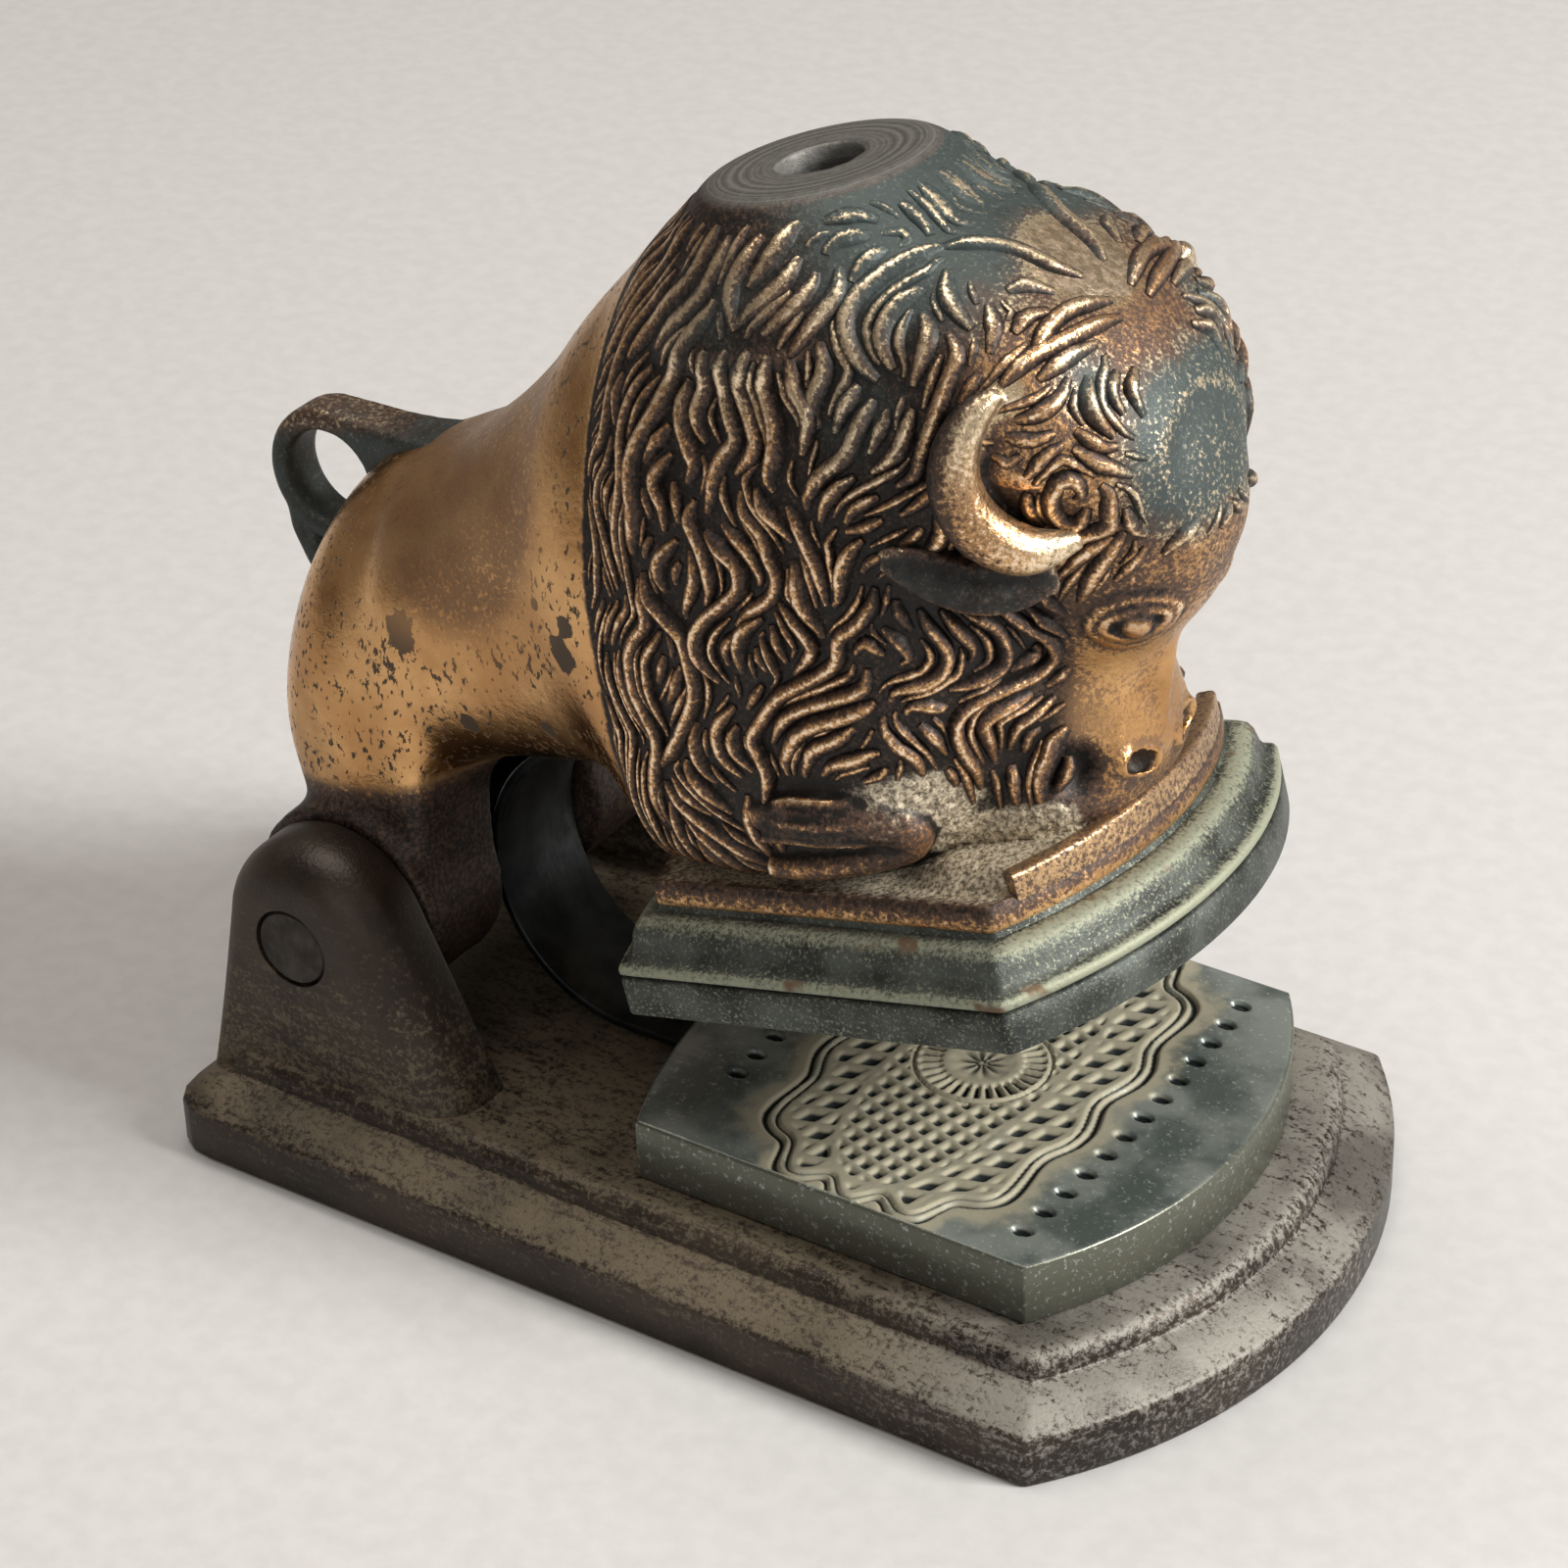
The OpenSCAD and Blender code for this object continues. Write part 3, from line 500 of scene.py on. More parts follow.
copper = wornCopper()
bronze = darkBronze()
plateFinish = verdigrisPlate()
dieFinish = engravedDie()
pinFinish = agedSteel("pinSteel", (0.028, 0.023, 0.02), (0.06, 0.052, 0.047), 3, 0.4, 0.55)
# the spring steel is near black: dark oxide, darkened further as painted shade for the shadowed gap under the
# belly
shadedSpringFinish = agedSteel("shadedSpringSteel", (0.014, 0.017, 0.018), (0.04, 0.046, 0.048), 5, 0.35, 0.5)
screwFinish = agedSteel("screwSteel", (0.07, 0.066, 0.06), (0.2, 0.185, 0.17), 2, 0.35, 0.5)
forceFinish = agedSteel("forceMetal", (0.1, 0.095, 0.082), (0.24, 0.225, 0.19), 4, 0.45, 0.62)
print("finishes made")


# Camera, light and floor
photoView = dict(place=(0.18736, -0.28054, 0.25065), target=(-0.00369, 0.0, 0.0388), rollDeg=-1.77,
                 lens=101.25, sensor=36, photoSize=1600)
lamps = dict(
    key=dict(place=(0.87, 0.2, 0.66), size=0.36, watts=18.3, colour=(1.0, 0.97, 0.92)),
    top=dict(place=(-0.16, 0.05, 0.9), size=0.6, watts=4.8, colour=(1.0, 0.93, 0.84)),
    front=dict(place=(0.3, -0.75, 0.4), size=0.5, watts=1.0, colour=(1.0, 0.99, 0.97)),
)
room = dict(colour=(0.72, 0.63, 0.54), strength=0.24, floor=(0.51, 0.515, 0.52), floorDark=0.93, floorReach=3,
            lampTarget=(0, 0, 0.04))


def aim(obj, target):
    obj.rotation_euler = (Vector(target) - obj.location).to_track_quat("-Z", "Y").to_euler()


def viewAxes():
    # the camera's place and its ways ahead, across and up
    place = Vector(photoView["place"])
    ahead = (Vector(photoView["target"]) - place).normalized()
    right = ahead.cross(Vector((0, 0, 1))).normalized()
    up = right.cross(ahead)
    roll = math.radians(photoView["rollDeg"])
    across = right * math.cos(roll) + up * math.sin(roll)
    rise = up * math.cos(roll) - right * math.sin(roll)
    return place, ahead, across, rise


def setCamera():
    place, ahead, across, rise = viewAxes()
    lensData = bpy.data.cameras.new("camera")
    lensData.lens = photoView["lens"]
    lensData.sensor_width = photoView["sensor"]
    camera = bpy.data.objects.new("camera", lensData)
    camera.matrix_world = Matrix.Translation(place) @ Matrix((across, rise, -ahead)).transposed().to_4x4()
    scene.collection.objects.link(camera)
    scene.camera = camera


def onSkin(skin, pixel):
    # place on the lever's skin that the photograph shows at a pixel
    place, ahead, across, rise = viewAxes()
    size = photoView["photoSize"]
    focal = photoView["lens"] / photoView["sensor"] * size
    way = ahead * focal + across * (pixel[0] - size / 2) - rise * (pixel[1] - size / 2)
    return skin.ray_cast(toLever @ place, (toLever.to_3x3() @ way).normalized())[0]


def setRoom():
    for name, lamp in lamps.items():
        data = bpy.data.lights.new(name, "AREA")
        data.size = lamp["size"]
        data.energy = lamp["watts"]
        data.color = lamp["colour"]
        obj = bpy.data.objects.new(name, data)
        obj.location = lamp["place"]
        aim(obj, room["lampTarget"])
        scene.collection.objects.link(obj)
    scene.view_settings.view_transform = "Standard"
    world = bpy.data.worlds.new("room")
    world.use_nodes = True
    sky = world.node_tree.nodes["Background"]
    sky.inputs["Color"].default_value = (*room["colour"], 1)
    sky.inputs["Strength"].default_value = room["strength"]
    scene.world = world
    paper = Finish("paleFloor", Roughness=0.9)
    tint = tuple(c * room["floorDark"] for c in room["floor"])
    paper.rough(paper.grain(1.2, 4), 0.12, 0.1)
    paper.set(Base_Color=paper.blend(paper.range(paper.grain(2.5, 5), 0.3, 0.7), tint, room["floor"]))
    far = room["floorReach"]
    corners = [(-far, -far, 0), (far, -far, 0), (far, far, 0), (-far, far, 0)]
    floor = looseObject("floor", (corners, [(0, 1, 2, 3)]))
    floor.data.materials.append(paper.material)


setCamera()
setRoom()
print("camera, lamps and floor set")


def cutAway(obj, parts):
    cutter = looseObject("cutter", joined(parts))
    cut = obj.modifiers.new("cut", "BOOLEAN")
    cut.operation = "DIFFERENCE"
    cut.solver = "EXACT"
    cut.object = cutter
    applyModifiers(obj)
    mesh = cutter.data
    bpy.data.objects.remove(cutter)
    bpy.data.meshes.remove(mesh)


def turned(profile, sides=48):
    # body of revolution about z; profile: (radius, height) from the bottom up
    return loft([[(r * c, r * s, z) for c, s in circle(sides)] for r, z in profile])


def moved(part, matrix):
    return [matrix @ Vector(v) for v in part[0]], part[1]


def boxPart(low, high):
    (x0, y0, z0), (x1, y1, z1) = low, high
    return loft([[(x0, y0, z), (x1, y0, z), (x1, y1, z), (x0, y1, z)] for z in (z0, z1)])


def byHeight(heights, pairs):
    # amount for each height, from pairs of height and amount
    return np.interp(heights, *zip(*pairs))


def fade(values, none, full):
    # 0 at one value and 1 at the other
    return np.clip((values - none) / (full - none), 0, 1)


def vertexPlaces(obj):
    places = np.empty(len(obj.data.vertices) * 3)
    obj.data.vertices.foreach_get("co", places)
    return places.reshape(-1, 3)


# Base casting: fascia, dusty slope, cove, and a rounded step up to the platform
baseLow, baseHigh = (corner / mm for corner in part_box("base_casting"))
dieLow, dieHigh = (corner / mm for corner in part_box("lower_die"))
platformZ = dieLow.z
# foot and brim: inset, and height above the floor or below the fascia's top
base = dict(bow=12.2, rearCorner=5.0, corner=0.6, fascia=5.4, foot=[(0.6, 0), (0.15, 0.12), (0, 0.5)],
            brim=[(0, 0.5), (0.1, 0.18), (0.4, 0)], slopeTop=7.35, slopeWide=4.7, swell=0.12, cove=0.12,
            stepIn=6.6, stepRound=1.1, curveSteps=8, perSide=40, platform=(0.8, 2.5, 6, 12, 20),
            screwHead=3.6, screwDeep=2.1)
baseShape = dict(rear=baseLow.x, front=baseHigh.x - base["bow"], half=baseHigh.y, bowFront=base["bow"],
                 bowRear=0, rearCorner=base["rearCorner"])


def baseProfile():
    fascia, slopeTop, wide, stepIn = base["fascia"], base["slopeTop"], base["slopeWide"], base["stepIn"]
    cove, steps = base["cove"], base["curveSteps"]
    profile = base["foot"] + [(inset, fascia - drop) for inset, drop in base["brim"]]
    brimIn = profile[-1][0]
    for k in range(1, steps + 1):
        t = k / steps
        height = t + base["swell"] * math.sin(math.pi * t)
        profile.append((brimIn + (wide - brimIn) * t, fascia + (slopeTop - fascia) * height))
    rise = platformZ - slopeTop
    for k in range(steps + 1):
        a = math.radians(90 * k / steps)
        profile.append((wide + cove + (stepIn - wide - cove) * (1 - math.cos(a)) ** base["stepRound"],
                        slopeTop + cove + (rise - cove) * math.sin(a)))
    return profile + [(stepIn + extra, platformZ) for extra in base["platform"]]


def makeBase():
    fascia, slopeTop = base["fascia"], base["slopeTop"]
    part = mouldedBlock(baseShape, baseProfile(), corner=base["corner"], perSide=base["perSide"])
    block = looseObject("baseBlock", part)
    screwLow, screwHigh = (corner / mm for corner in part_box("lower_die_screws"))
    head = turned([(base["screwHead"], -1), (base["screwHead"], base["screwDeep"])])
    middle = (screwLow.x + screwHigh.x) / 2
    offset = screwHigh.y - (screwHigh.x - screwLow.x) / 2
    cutAway(block, [moved(head, Matrix.Translation((middle, s * offset, 0))) for s in (-1, 1)])
    z = vertexPlaces(block)[:, 2]
    dust = [(0, 0.12), (fascia - 0.6, 0.2), (fascia, 0.7), (6.2, 1.0), (slopeTop - 0.1, 0.8),
            (slopeTop + 0.15, 0.15), (8.6, 0.4), (9.5, 0.6), (9.6, 0.85)]
    wear = [(0, 0.15), (fascia - 0.5, 0.2), (fascia - 0.15, 0.42), (fascia + 0.4, 0), (8.6, 0.05), (9.3, 0.4),
            (9.6, 0.1)]
    setPaint(block, "dust", byHeight(z, dust))
    setPaint(block, "wear", byHeight(z, wear))
    finishPiece(block, fromBase, "base", bronze, 50)
    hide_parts("base_casting")


# Ears: round heads with broad rounded rims, bored for the pin
ear = dict(outer=27.0, thick=8.0, radius=9.8, lean=0.6, frontFoot=20.0, rearFoot=-12.2, rearRim=0.3,
           innerRim=[(0.8, 0), (0.25, 0.25), (0, 0.9)], rim=4.2, round=4.6, rimSteps=10, faceIn=(1.5, 3.2),
           headSteps=36, edgeSteps=12, bore=4.02, boreRun=(-5, 20), wearIn=1.4, wearWide=1.2,
           dust=[(6, 0.75), (9, 0.7), (13, 0.5), (22, 0.16), (30, 0.08)],
           wear=[(8, 0.5), (16, 0.25), (26, 0.2), (33, 0.4)])


def earOutline(inset):
    # round head, and a straight edge that touches it from each foot
    centre, radius = Vector((pinX + ear["lean"], pinZ)), ear["radius"] - inset
    feet, turns = [], []
    for along, way, rim in ((ear["rearFoot"], -1, ear["rearRim"]), (ear["frontFoot"], 1, 1)):
        away = Vector((pinX + along, base["fascia"])) - centre
        turn = math.atan2(away.y, away.x) + way * math.acos(ear["radius"] / away.length)
        outward = Vector((math.cos(turn), math.sin(turn)))
        feet.append(centre + away - outward * inset * rim)
        turns.append(turn % (2 * math.pi))
    ring = []
    for k in range(ear["headSteps"] + 1):
        a = turns[0] + (turns[1] - turns[0]) * k / ear["headSteps"]
        ring.append(centre + Vector((math.cos(a), math.sin(a))) * radius)
    corners = [ring[-1], feet[1], feet[0], ring[0]]
    for start, end in zip(corners, corners[1:]):
        ring.extend([start.lerp(end, k / ear["edgeSteps"]) for k in range(1, ear["edgeSteps"] + 1)])
    return [tuple(p) for p in ring[:-1]]


def makeEar(name, side):
    outer, inner = ear["outer"], ear["outer"] - ear["thick"]
    layers = [(inset, inner + out) for inset, out in ear["innerRim"]]
    for k in range(ear["rimSteps"] + 1):
        a = math.radians(90 * k / ear["rimSteps"])
        layers.append((ear["rim"] * (1 - math.cos(a)), outer - ear["round"] * (1 - math.sin(a))))
    layers += [(ear["rim"] + more, outer) for more in ear["faceIn"]]
    rings = [[(x, y, z) for x, z in earOutline(inset)] for inset, y in layers]
    obj = looseObject(name, loft(rings))
    along = Matrix.Translation((pinX, inner, pinZ)) @ Matrix.Rotation(math.radians(-90), 4, "X")
    cutAway(obj, [moved(turned([(ear["bore"], end) for end in ear["boreRun"]], 64), along)])
    if side < 0:
        obj.data.transform(Matrix.Scale(-1, 4, (0, 1, 0)))
        obj.data.flip_normals()
    y, z = vertexPlaces(obj)[:, 1:].T
    setPaint(obj, "dust", byHeight(z, ear["dust"]))
    edge = np.clip(1 - np.abs(outer - ear["wearIn"] - np.abs(y)) / ear["wearWide"], 0, 1)
    setPaint(obj, "wear", edge * byHeight(z, ear["wear"]))
    finishPiece(obj, fromBase, "base", bronze, 40)


makeBase()
makeEar("earRight", -1)
makeEar("earLeft", 1)
print("base and ears made")


# Pivot pin, filed flush with the ears
pinShape = dict(chamfer=0.35, dome=0.12, lift=-0.02, domeSteps=(0.02, 0.35, 0.7))


def makePin():
    low, high = (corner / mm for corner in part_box("pivot_pin"))
    radius, half = (high.x - low.x) / 2, high.y
    dome, chamfer = pinShape["dome"], pinShape["chamfer"]
    profile = [(radius * r, half - dome * r * r + pinShape["lift"]) for r in pinShape["domeSteps"]]
    profile += [(radius - chamfer, half - dome), (radius, half - dome - chamfer)]
    part = turned([(r, -z) for r, z in profile] + profile[::-1], 64)
    place = Matrix.Translation((pinX, 0, pinZ)) @ Matrix.Rotation(math.radians(90), 4, "X")
    pin = looseObject("pivotPin", moved(part, place))
    finishPiece(pin, fromBase, "base", pinFinish)
    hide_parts("pivot_pin")


# Slotted screws in the base: two under the die, one on the spring's foot
screwShape = dict(slotWide=0.9, slotDeep=0.8, chamfer=0.25, slotTurn=0.6, dieHead=2.0, dieShank=2.0,
                  dieLift=0.05, springHead=1.8, springShank=1.5)


def makeScrew(name, node, at, head, headHigh, shank, length, faceDown):
    # built with the head's face at z = 0 and the shank below it, then set in place
    s = screwShape
    profile = [(shank, -length), (shank, -headHigh), (head, -headHigh), (head, -s["chamfer"]),
               (head - s["chamfer"], 0)]
    screw = looseObject(name, turned(profile))
    slot = boxPart((-head - 1, -s["slotWide"] / 2, -s["slotDeep"]), (head + 1, s["slotWide"] / 2, 1))
    cutAway(screw, [slot])
    turn = Matrix.Rotation(math.pi, 4, "X") if faceDown else Matrix.Rotation(s["slotTurn"], 4, "Z")
    screw.data.transform(Matrix.Translation(at) @ turn)
    finishPiece(screw, fromBase, "base", screwFinish)
    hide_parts(node)


def makeScrews():
    s = screwShape
    low, high = (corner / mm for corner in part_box("lower_die_screws"))
    middle, head = (low.x + high.x) / 2, (high.x - low.x) / 2
    for name, side in (("dieScrewRight", -1), ("dieScrewLeft", 1)):
        at = (middle, side * (high.y - head), s["dieLift"])
        makeScrew(name, "lower_die_screws", at, head, s["dieHead"], s["dieShank"], high.z, True)
    low, high = (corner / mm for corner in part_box("spring_screw"))
    at = ((low.x + high.x) / 2, 0, high.z)
    long = high.z - low.z
    makeScrew("springScrew", "spring_screw", at, high.y, s["springHead"], s["springShank"], long, False)


makePin()
makeScrews()
print("pin and screws made")


# Engraved slab on a grid that follows its bowed outline; art gives (depth, dust) for arrays of places
def bowedGrid(shape, inset, rows, cols):
    half = shape["half"] - inset
    ys = np.linspace(-half, half, rows)

    def end(at, bow, ahead):
        radius = (shape["half"] ** 2 + bow ** 2) / (2 * bow)
        return at + ahead * (bow - radius) + ahead * np.sqrt((radius - inset) ** 2 - ys ** 2)

    rear, front = end(shape["rear"], shape["bowRear"], -1), end(shape["front"], shape["bowFront"], 1)
    along = np.linspace(0, 1, cols)
    return rear[:, None] + (front - rear)[:, None] * along, np.repeat(ys[:, None], cols, 1)


def engravedSlab(shape, zFace, zBack, art, step):
    up = 1 if zFace > zBack else -1
    edge = dieArt["edge"]
    rows = int(2 * shape["half"] / step)
    cols = int((shape["front"] + shape["bowFront"] + shape["bowRear"] - shape["rear"]) / step)
    x, y = bowedGrid(shape, edge, rows, cols)
    depth, dust = art(x, y)
    depth[[0, -1]] = 0
    depth[:, [0, -1]] = 0
    verts = [np.stack([x, y, zFace - up * depth], 2).reshape(-1, 3)]
    index = np.arange(rows * cols).reshape(rows, cols)
    faces = [np.stack([index[:-1, :-1], index[:-1, 1:], index[1:, 1:], index[1:, :-1]], 2).reshape(-1, 4)]
    loop = np.concatenate([index[0, :-1], index[:-1, -1], index[-1, :0:-1], index[:0:-1, 0]])
    # the wall hangs from the face's rim, one ring for each (inset, drop)
    full, last, count = abs(zFace - zBack), loop, rows * cols
    for inset, drop in ((0.1, 0.1), (0, edge), (0, full - 0.2), (0.2, full)):
        wallX, wallY = bowedGrid(shape, inset, rows, cols)
        ring = np.arange(count, count + len(loop))
        height = np.full(len(loop), zFace - up * drop)
        verts.append(np.stack([wallX.ravel()[loop], wallY.ravel()[loop], height], 1))
        faces.append(np.stack([last, ring, np.roll(ring, -1), np.roll(last, -1)], 1))
        last, count = ring, count + len(loop)
    quads = [tuple(f) for f in np.vstack(faces).tolist()] + [tuple(last[::-1].tolist())]
    if up < 0:
        quads = [f[::-1] for f in quads]
    wall = np.zeros(count - rows * cols)
    paints = dict(pit=np.append(depth.ravel() / dieArt["pitDeep"], wall), dust=np.append(dust.ravel(), wall),
                  side=np.append(np.zeros(rows * cols), wall + 1))
    return (np.vstack(verts).tolist(), quads), paints


# Ornament of the lower die: a fluted rosette on a waffle field in a scalloped frame, with rows of beads
dieArt = dict(
    step=0.2, edge=0.35, deep=0.55, pitDeep=0.6, middle=17.3,
    # frame and inner oval: half lengths and squareness
    long=22.4, wide=12.3, square=3.2, scallops=14, scallop=0.045, ovalLong=21.2, ovalWide=7.6, ovalSquare=2.3,
    # waffle fields: size of mesh, slant and bar
    fineMesh=(1.9, 0.35, 0.12), coarseMesh=(2.5, -0.3, 0.1), coarseDeep=1.1, meshSlope=0.26, meshLean=0.25,
    # distance from the frame and from the inner oval where a field starts and where it is full
    fieldIn=(0.75, 1.25), ovalGap=(0.28, 0.63),
    # grooves along the frame: distance inside it, half width and depth
    grooves=[(-0.15, 0.3, 0.75), (-1.15, 0.42, 0.85)], grooveFlat=1.6,
    rosette=6.7, flutes=30, fluteIn=3.7, fluteOut=5.9, fluteEdge=0.3, fluteFlat=1.5, fluteSlope=4.2,
    petals=10, heart=3.2, rim=(6.35, 0.25, 0.6),
    # rows of beads: place along the die, reach across it and the way they bow
    beadRows=[(33.4, 20.5, 1), (0.6, 15.5, -1)], beadGap=3.3, beadLong=1.15, beadWide=0.75, beadFlat=1.5,
    beadBow=1.2, bowReach=24,
    dustAt=1.6, dustReach=4.5, dustFrame=0.8, dustField=0.72)


def dieRelief(x, y):
    art = dieArt
    u, v = x - art["middle"], y

    def oval(u, v, wide, long, power, wave):
        turn = np.arctan2(u / wide, v / long)
        size = (np.abs(u / wide) ** power + np.abs(v / long) ** power) ** (1 / power)
        return size / (1 + wave * np.cos(art["scallops"] * turn))

    def inside(wide, long, power, wave=0.0):
        # distance inside an oval's line, in millimetres
        h = 0.02
        q = oval(u, v, wide, long, power, wave)
        gu = (oval(u + h, v, wide, long, power, wave) - q) / h
        gv = (oval(u, v + h, wide, long, power, wave) - q) / h
        return (1 - q) / np.maximum(np.hypot(gu, gv), 1e-3)

    def waffle(mesh, slant, bar):
        a = (v + slant * u) / mesh
        b = (u - art["meshLean"] * v) / mesh
        off = np.maximum(np.abs(a - np.round(a)), np.abs(b - np.round(b)))
        return np.clip((0.5 - bar - off) / art["meshSlope"], 0, 1)

    def groove(value, centre, half):
        flat = art["grooveFlat"]
        return np.clip(flat - flat * np.abs(value - centre) / half, 0, 1)

    frameIn = inside(art["wide"], art["long"], art["square"], art["scallop"])
    ovalIn = inside(art["ovalWide"], art["ovalLong"], art["ovalSquare"])
    radius, turn = np.hypot(u, v), np.arctan2(u, v)
    field = np.where(ovalIn > 0, waffle(*art["fineMesh"]), art["coarseDeep"] * waffle(*art["coarseMesh"]))
    depth = field * fade(frameIn, *art["fieldIn"]) * fade(np.abs(ovalIn), *art["ovalGap"])
    for centre, half, share in art["grooves"]:
        depth = np.maximum(depth, share * groove(frameIn, centre, half))
    # rosette: flutes round a heart of petals, in a rim
    share = turn * art["flutes"] / (2 * math.pi)
    flute = np.clip(art["fluteFlat"] - art["fluteSlope"] * np.abs(share - np.round(share)), 0, 1)
    flute *= np.clip((radius - art["fluteIn"]) / art["fluteEdge"], 0, 1)
    flute *= np.clip((art["fluteOut"] - radius) / art["fluteEdge"], 0, 1)
    petal = 0.5 + 0.5 * np.cos(turn * art["petals"])
    heart = np.where(radius < art["heart"], (1 - (radius / art["heart"]) ** 2) * (0.5 + 0.5 * petal), 0)
    centre, half, share = art["rim"]
    wheel = np.maximum(np.maximum(flute, heart), share * groove(radius, centre, half))
    depth = np.where(radius < art["rosette"], wheel, depth)
    # rows of oval beads ahead of the frame and behind it
    for rowX, reach, way in art["beadRows"]:
        bow = rowX + art["beadBow"] * ((1 - (v / art["bowReach"]) ** 2) * way - 0.5)
        step = v / art["beadGap"]
        across = (step - np.round(step)) * art["beadGap"]
        bead = ((x - bow) / art["beadLong"]) ** 2 + (across / art["beadWide"]) ** 2
        bead = np.clip(art["beadFlat"] - art["beadFlat"] * bead, 0, 1)
        depth = np.where(np.abs(v) < reach, np.maximum(depth, bead), depth)
    # pale dust lies along the frame and on the field inside it
    dust = np.clip(1 - np.abs(frameIn + art["dustAt"]) / art["dustReach"], 0, 1) * art["dustFrame"]
    dust = np.where(frameIn > 0, art["dustField"], dust)
    return depth * art["deep"], dust


dieBow = dict(front=7.8, rear=5.0)
dieShape = dict(rear=dieLow.x + dieBow["rear"], front=dieHigh.x - dieBow["front"], half=dieHigh.y,
                bowFront=dieBow["front"], bowRear=dieBow["rear"])


def makeLowerDie():
    part, paints = engravedSlab(dieShape, dieHigh.z, dieLow.z, dieRelief, dieArt["step"])
    die = looseObject("lowerDie", part)
    for name, values in paints.items():
        setPaint(die, name, values)
    finishPiece(die, fromBase, "base", dieFinish, 60)
    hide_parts("lower_die")


# Upper plates, laid out level under the lever: counter force, die plate and moulded plate
plateShape = {**dieShape, "rear": dieShape["rear"] - pinX, "front": dieShape["front"] - pinX}
stack = dict(
    force=-7.25, plate=-5.1, mould=-1.25, plinth=4.05,
    # profile rows: inset, height and wear, with the die plate's heights counted from its bottom and its top
    plateFoot=[(0.35, 0, 0.35), (0.08, 0.12, 0.45), (0, 0.4, 0.3), (0, 1.9, 0.12)],
    plateTop=[(0, -0.35, 0.25), (0.3, -0.05, 0.1)],
    mouldRows=[(0.3, -1.2, 0.5), (0.02, -0.95, 0.95), (0, -0.5, 0.95), (0.2, -0.18, 0.8), (0.65, -0.02, 0.35),
               (1.1, 0.3, 0.12), (1.42, 0.85, 0.05), (1.58, 1.55, 0.1), (1.72, 2.15, 0.3), (2.1, 2.85, 0.7),
               (2.75, 3.3, 0.8), (3.5, 3.46, 0.6), (4.05, 3.5, 0.25)],
    mouldTopIn=4.25, platePale=-0.3, mouldPale=0.22, paleFrom=60, paleIn=0.6, perSide=30,
    forceIn=4.0, forceRear=2.4, forceFront=2.2, forceBow=5.9, forceRearBow=3.6, forceStep=0.3,
    forceSeat=0.1, forceDeep=0.35, forceRelief=0.6)


def makeUpperPlates():
    s, detail = stack, dict(perSide=stack["perSide"])
    plate = [(inset, s["plate"] + z, wear) for inset, z, wear in s["plateFoot"]]
    plate += [(inset, s["mould"] + z, wear) for inset, z, wear in s["plateTop"]]
    mould = s["mouldRows"] + [(s["mouldTopIn"], s["plinth"], 0)]
    # the bowed front is paler or darker than the sides
    rim = bowedOutline(plateShape, 0, **detail)
    bow = np.array([float(x > s["paleFrom"] and abs(y) < plateShape["half"] - s["paleIn"]) for x, y in rim])
    for name, node, rows, pale in (("upperDiePlate", "upper_die_plate", plate, s["platePale"]),
                                   ("mouldedPlate", "moulded_plate", mould, s["mouldPale"])):
        profile = [(inset, z) for inset, z, wear in rows]
        obj = looseObject(name, mouldedBlock(plateShape, profile, **detail))
        wear = ringPaint(plateShape, [wear for inset, z, wear in rows], **detail)
        setPaint(obj, "wear", wear + pale * np.tile(bow, len(rows)))
        finishPiece(obj, fromLever, "lever", plateFinish, 48)
        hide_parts(node)
    # the force's face carries the die's picture in relief, pressed from it
    inner = dict(rear=plateShape["rear"] + s["forceRear"], front=plateShape["front"] - s["forceFront"],
                 half=plateShape["half"] - s["forceIn"], bowFront=s["forceBow"], bowRear=s["forceRearBow"])

    def pressed(x, y):
        depth, dust = dieRelief(x + pinX, y)
        return s["forceDeep"] - s["forceRelief"] * depth, dust

    part = engravedSlab(inner, s["force"], s["plate"] + s["forceSeat"], pressed, s["forceStep"])[0]
    force = looseObject("counterForce", part)
    finishPiece(force, fromLever, "lever", forceFinish, 60)
    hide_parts("counter_force")


makeLowerDie()
makeUpperPlates()
print("dies and plates made")


# Bow spring between the base and the belly
bowSpring = dict(thick=1.0, foot=8.0, edge=0.3, lift=0.02, footSteps=6, bowSteps=40)


def crossUps(path):
    # for a strap that bends in the xz plane: the way out of its face at each point
    ups = []
    for k in range(len(path)):
        ahead = Vector(path[min(k + 1, len(path) - 1)]) - Vector(path[max(k - 1, 0)])
        ups.append(ahead.cross(Vector((0, 1, 0))))
    return ups


def makeSpring():
    low, high = (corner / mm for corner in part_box("return_spring"))
    thick, foot = bowSpring["thick"], bowSpring["foot"]
    bowX = high.x - foot
    bottom, top = low.z + thick / 2 + bowSpring["lift"], high.z - thick / 2
    bulge, middle, half = bowX - low.x - thick / 2, (bottom + top) / 2, (top - bottom) / 2
    path = [(high.x - foot * k / bowSpring["footSteps"], 0, bottom) for k in range(bowSpring["footSteps"])]
    for k in range(bowSpring["bowSteps"] + 1):
        a = math.radians(-90 + 180 * k / bowSpring["bowSteps"])
        path.append((bowX - bulge * math.cos(a), 0, middle + half * math.sin(a)))
    part = sweep(path, crossUps(path), [barSection(high.y - low.y, thick, bowSpring["edge"])] * len(path))
    spring = looseObject("returnSpring", part)
    finishPiece(spring, fromBase, None, shadedSpringFinish)
    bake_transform(spring)
    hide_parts("return_spring")


makeSpring()
print("spring made")

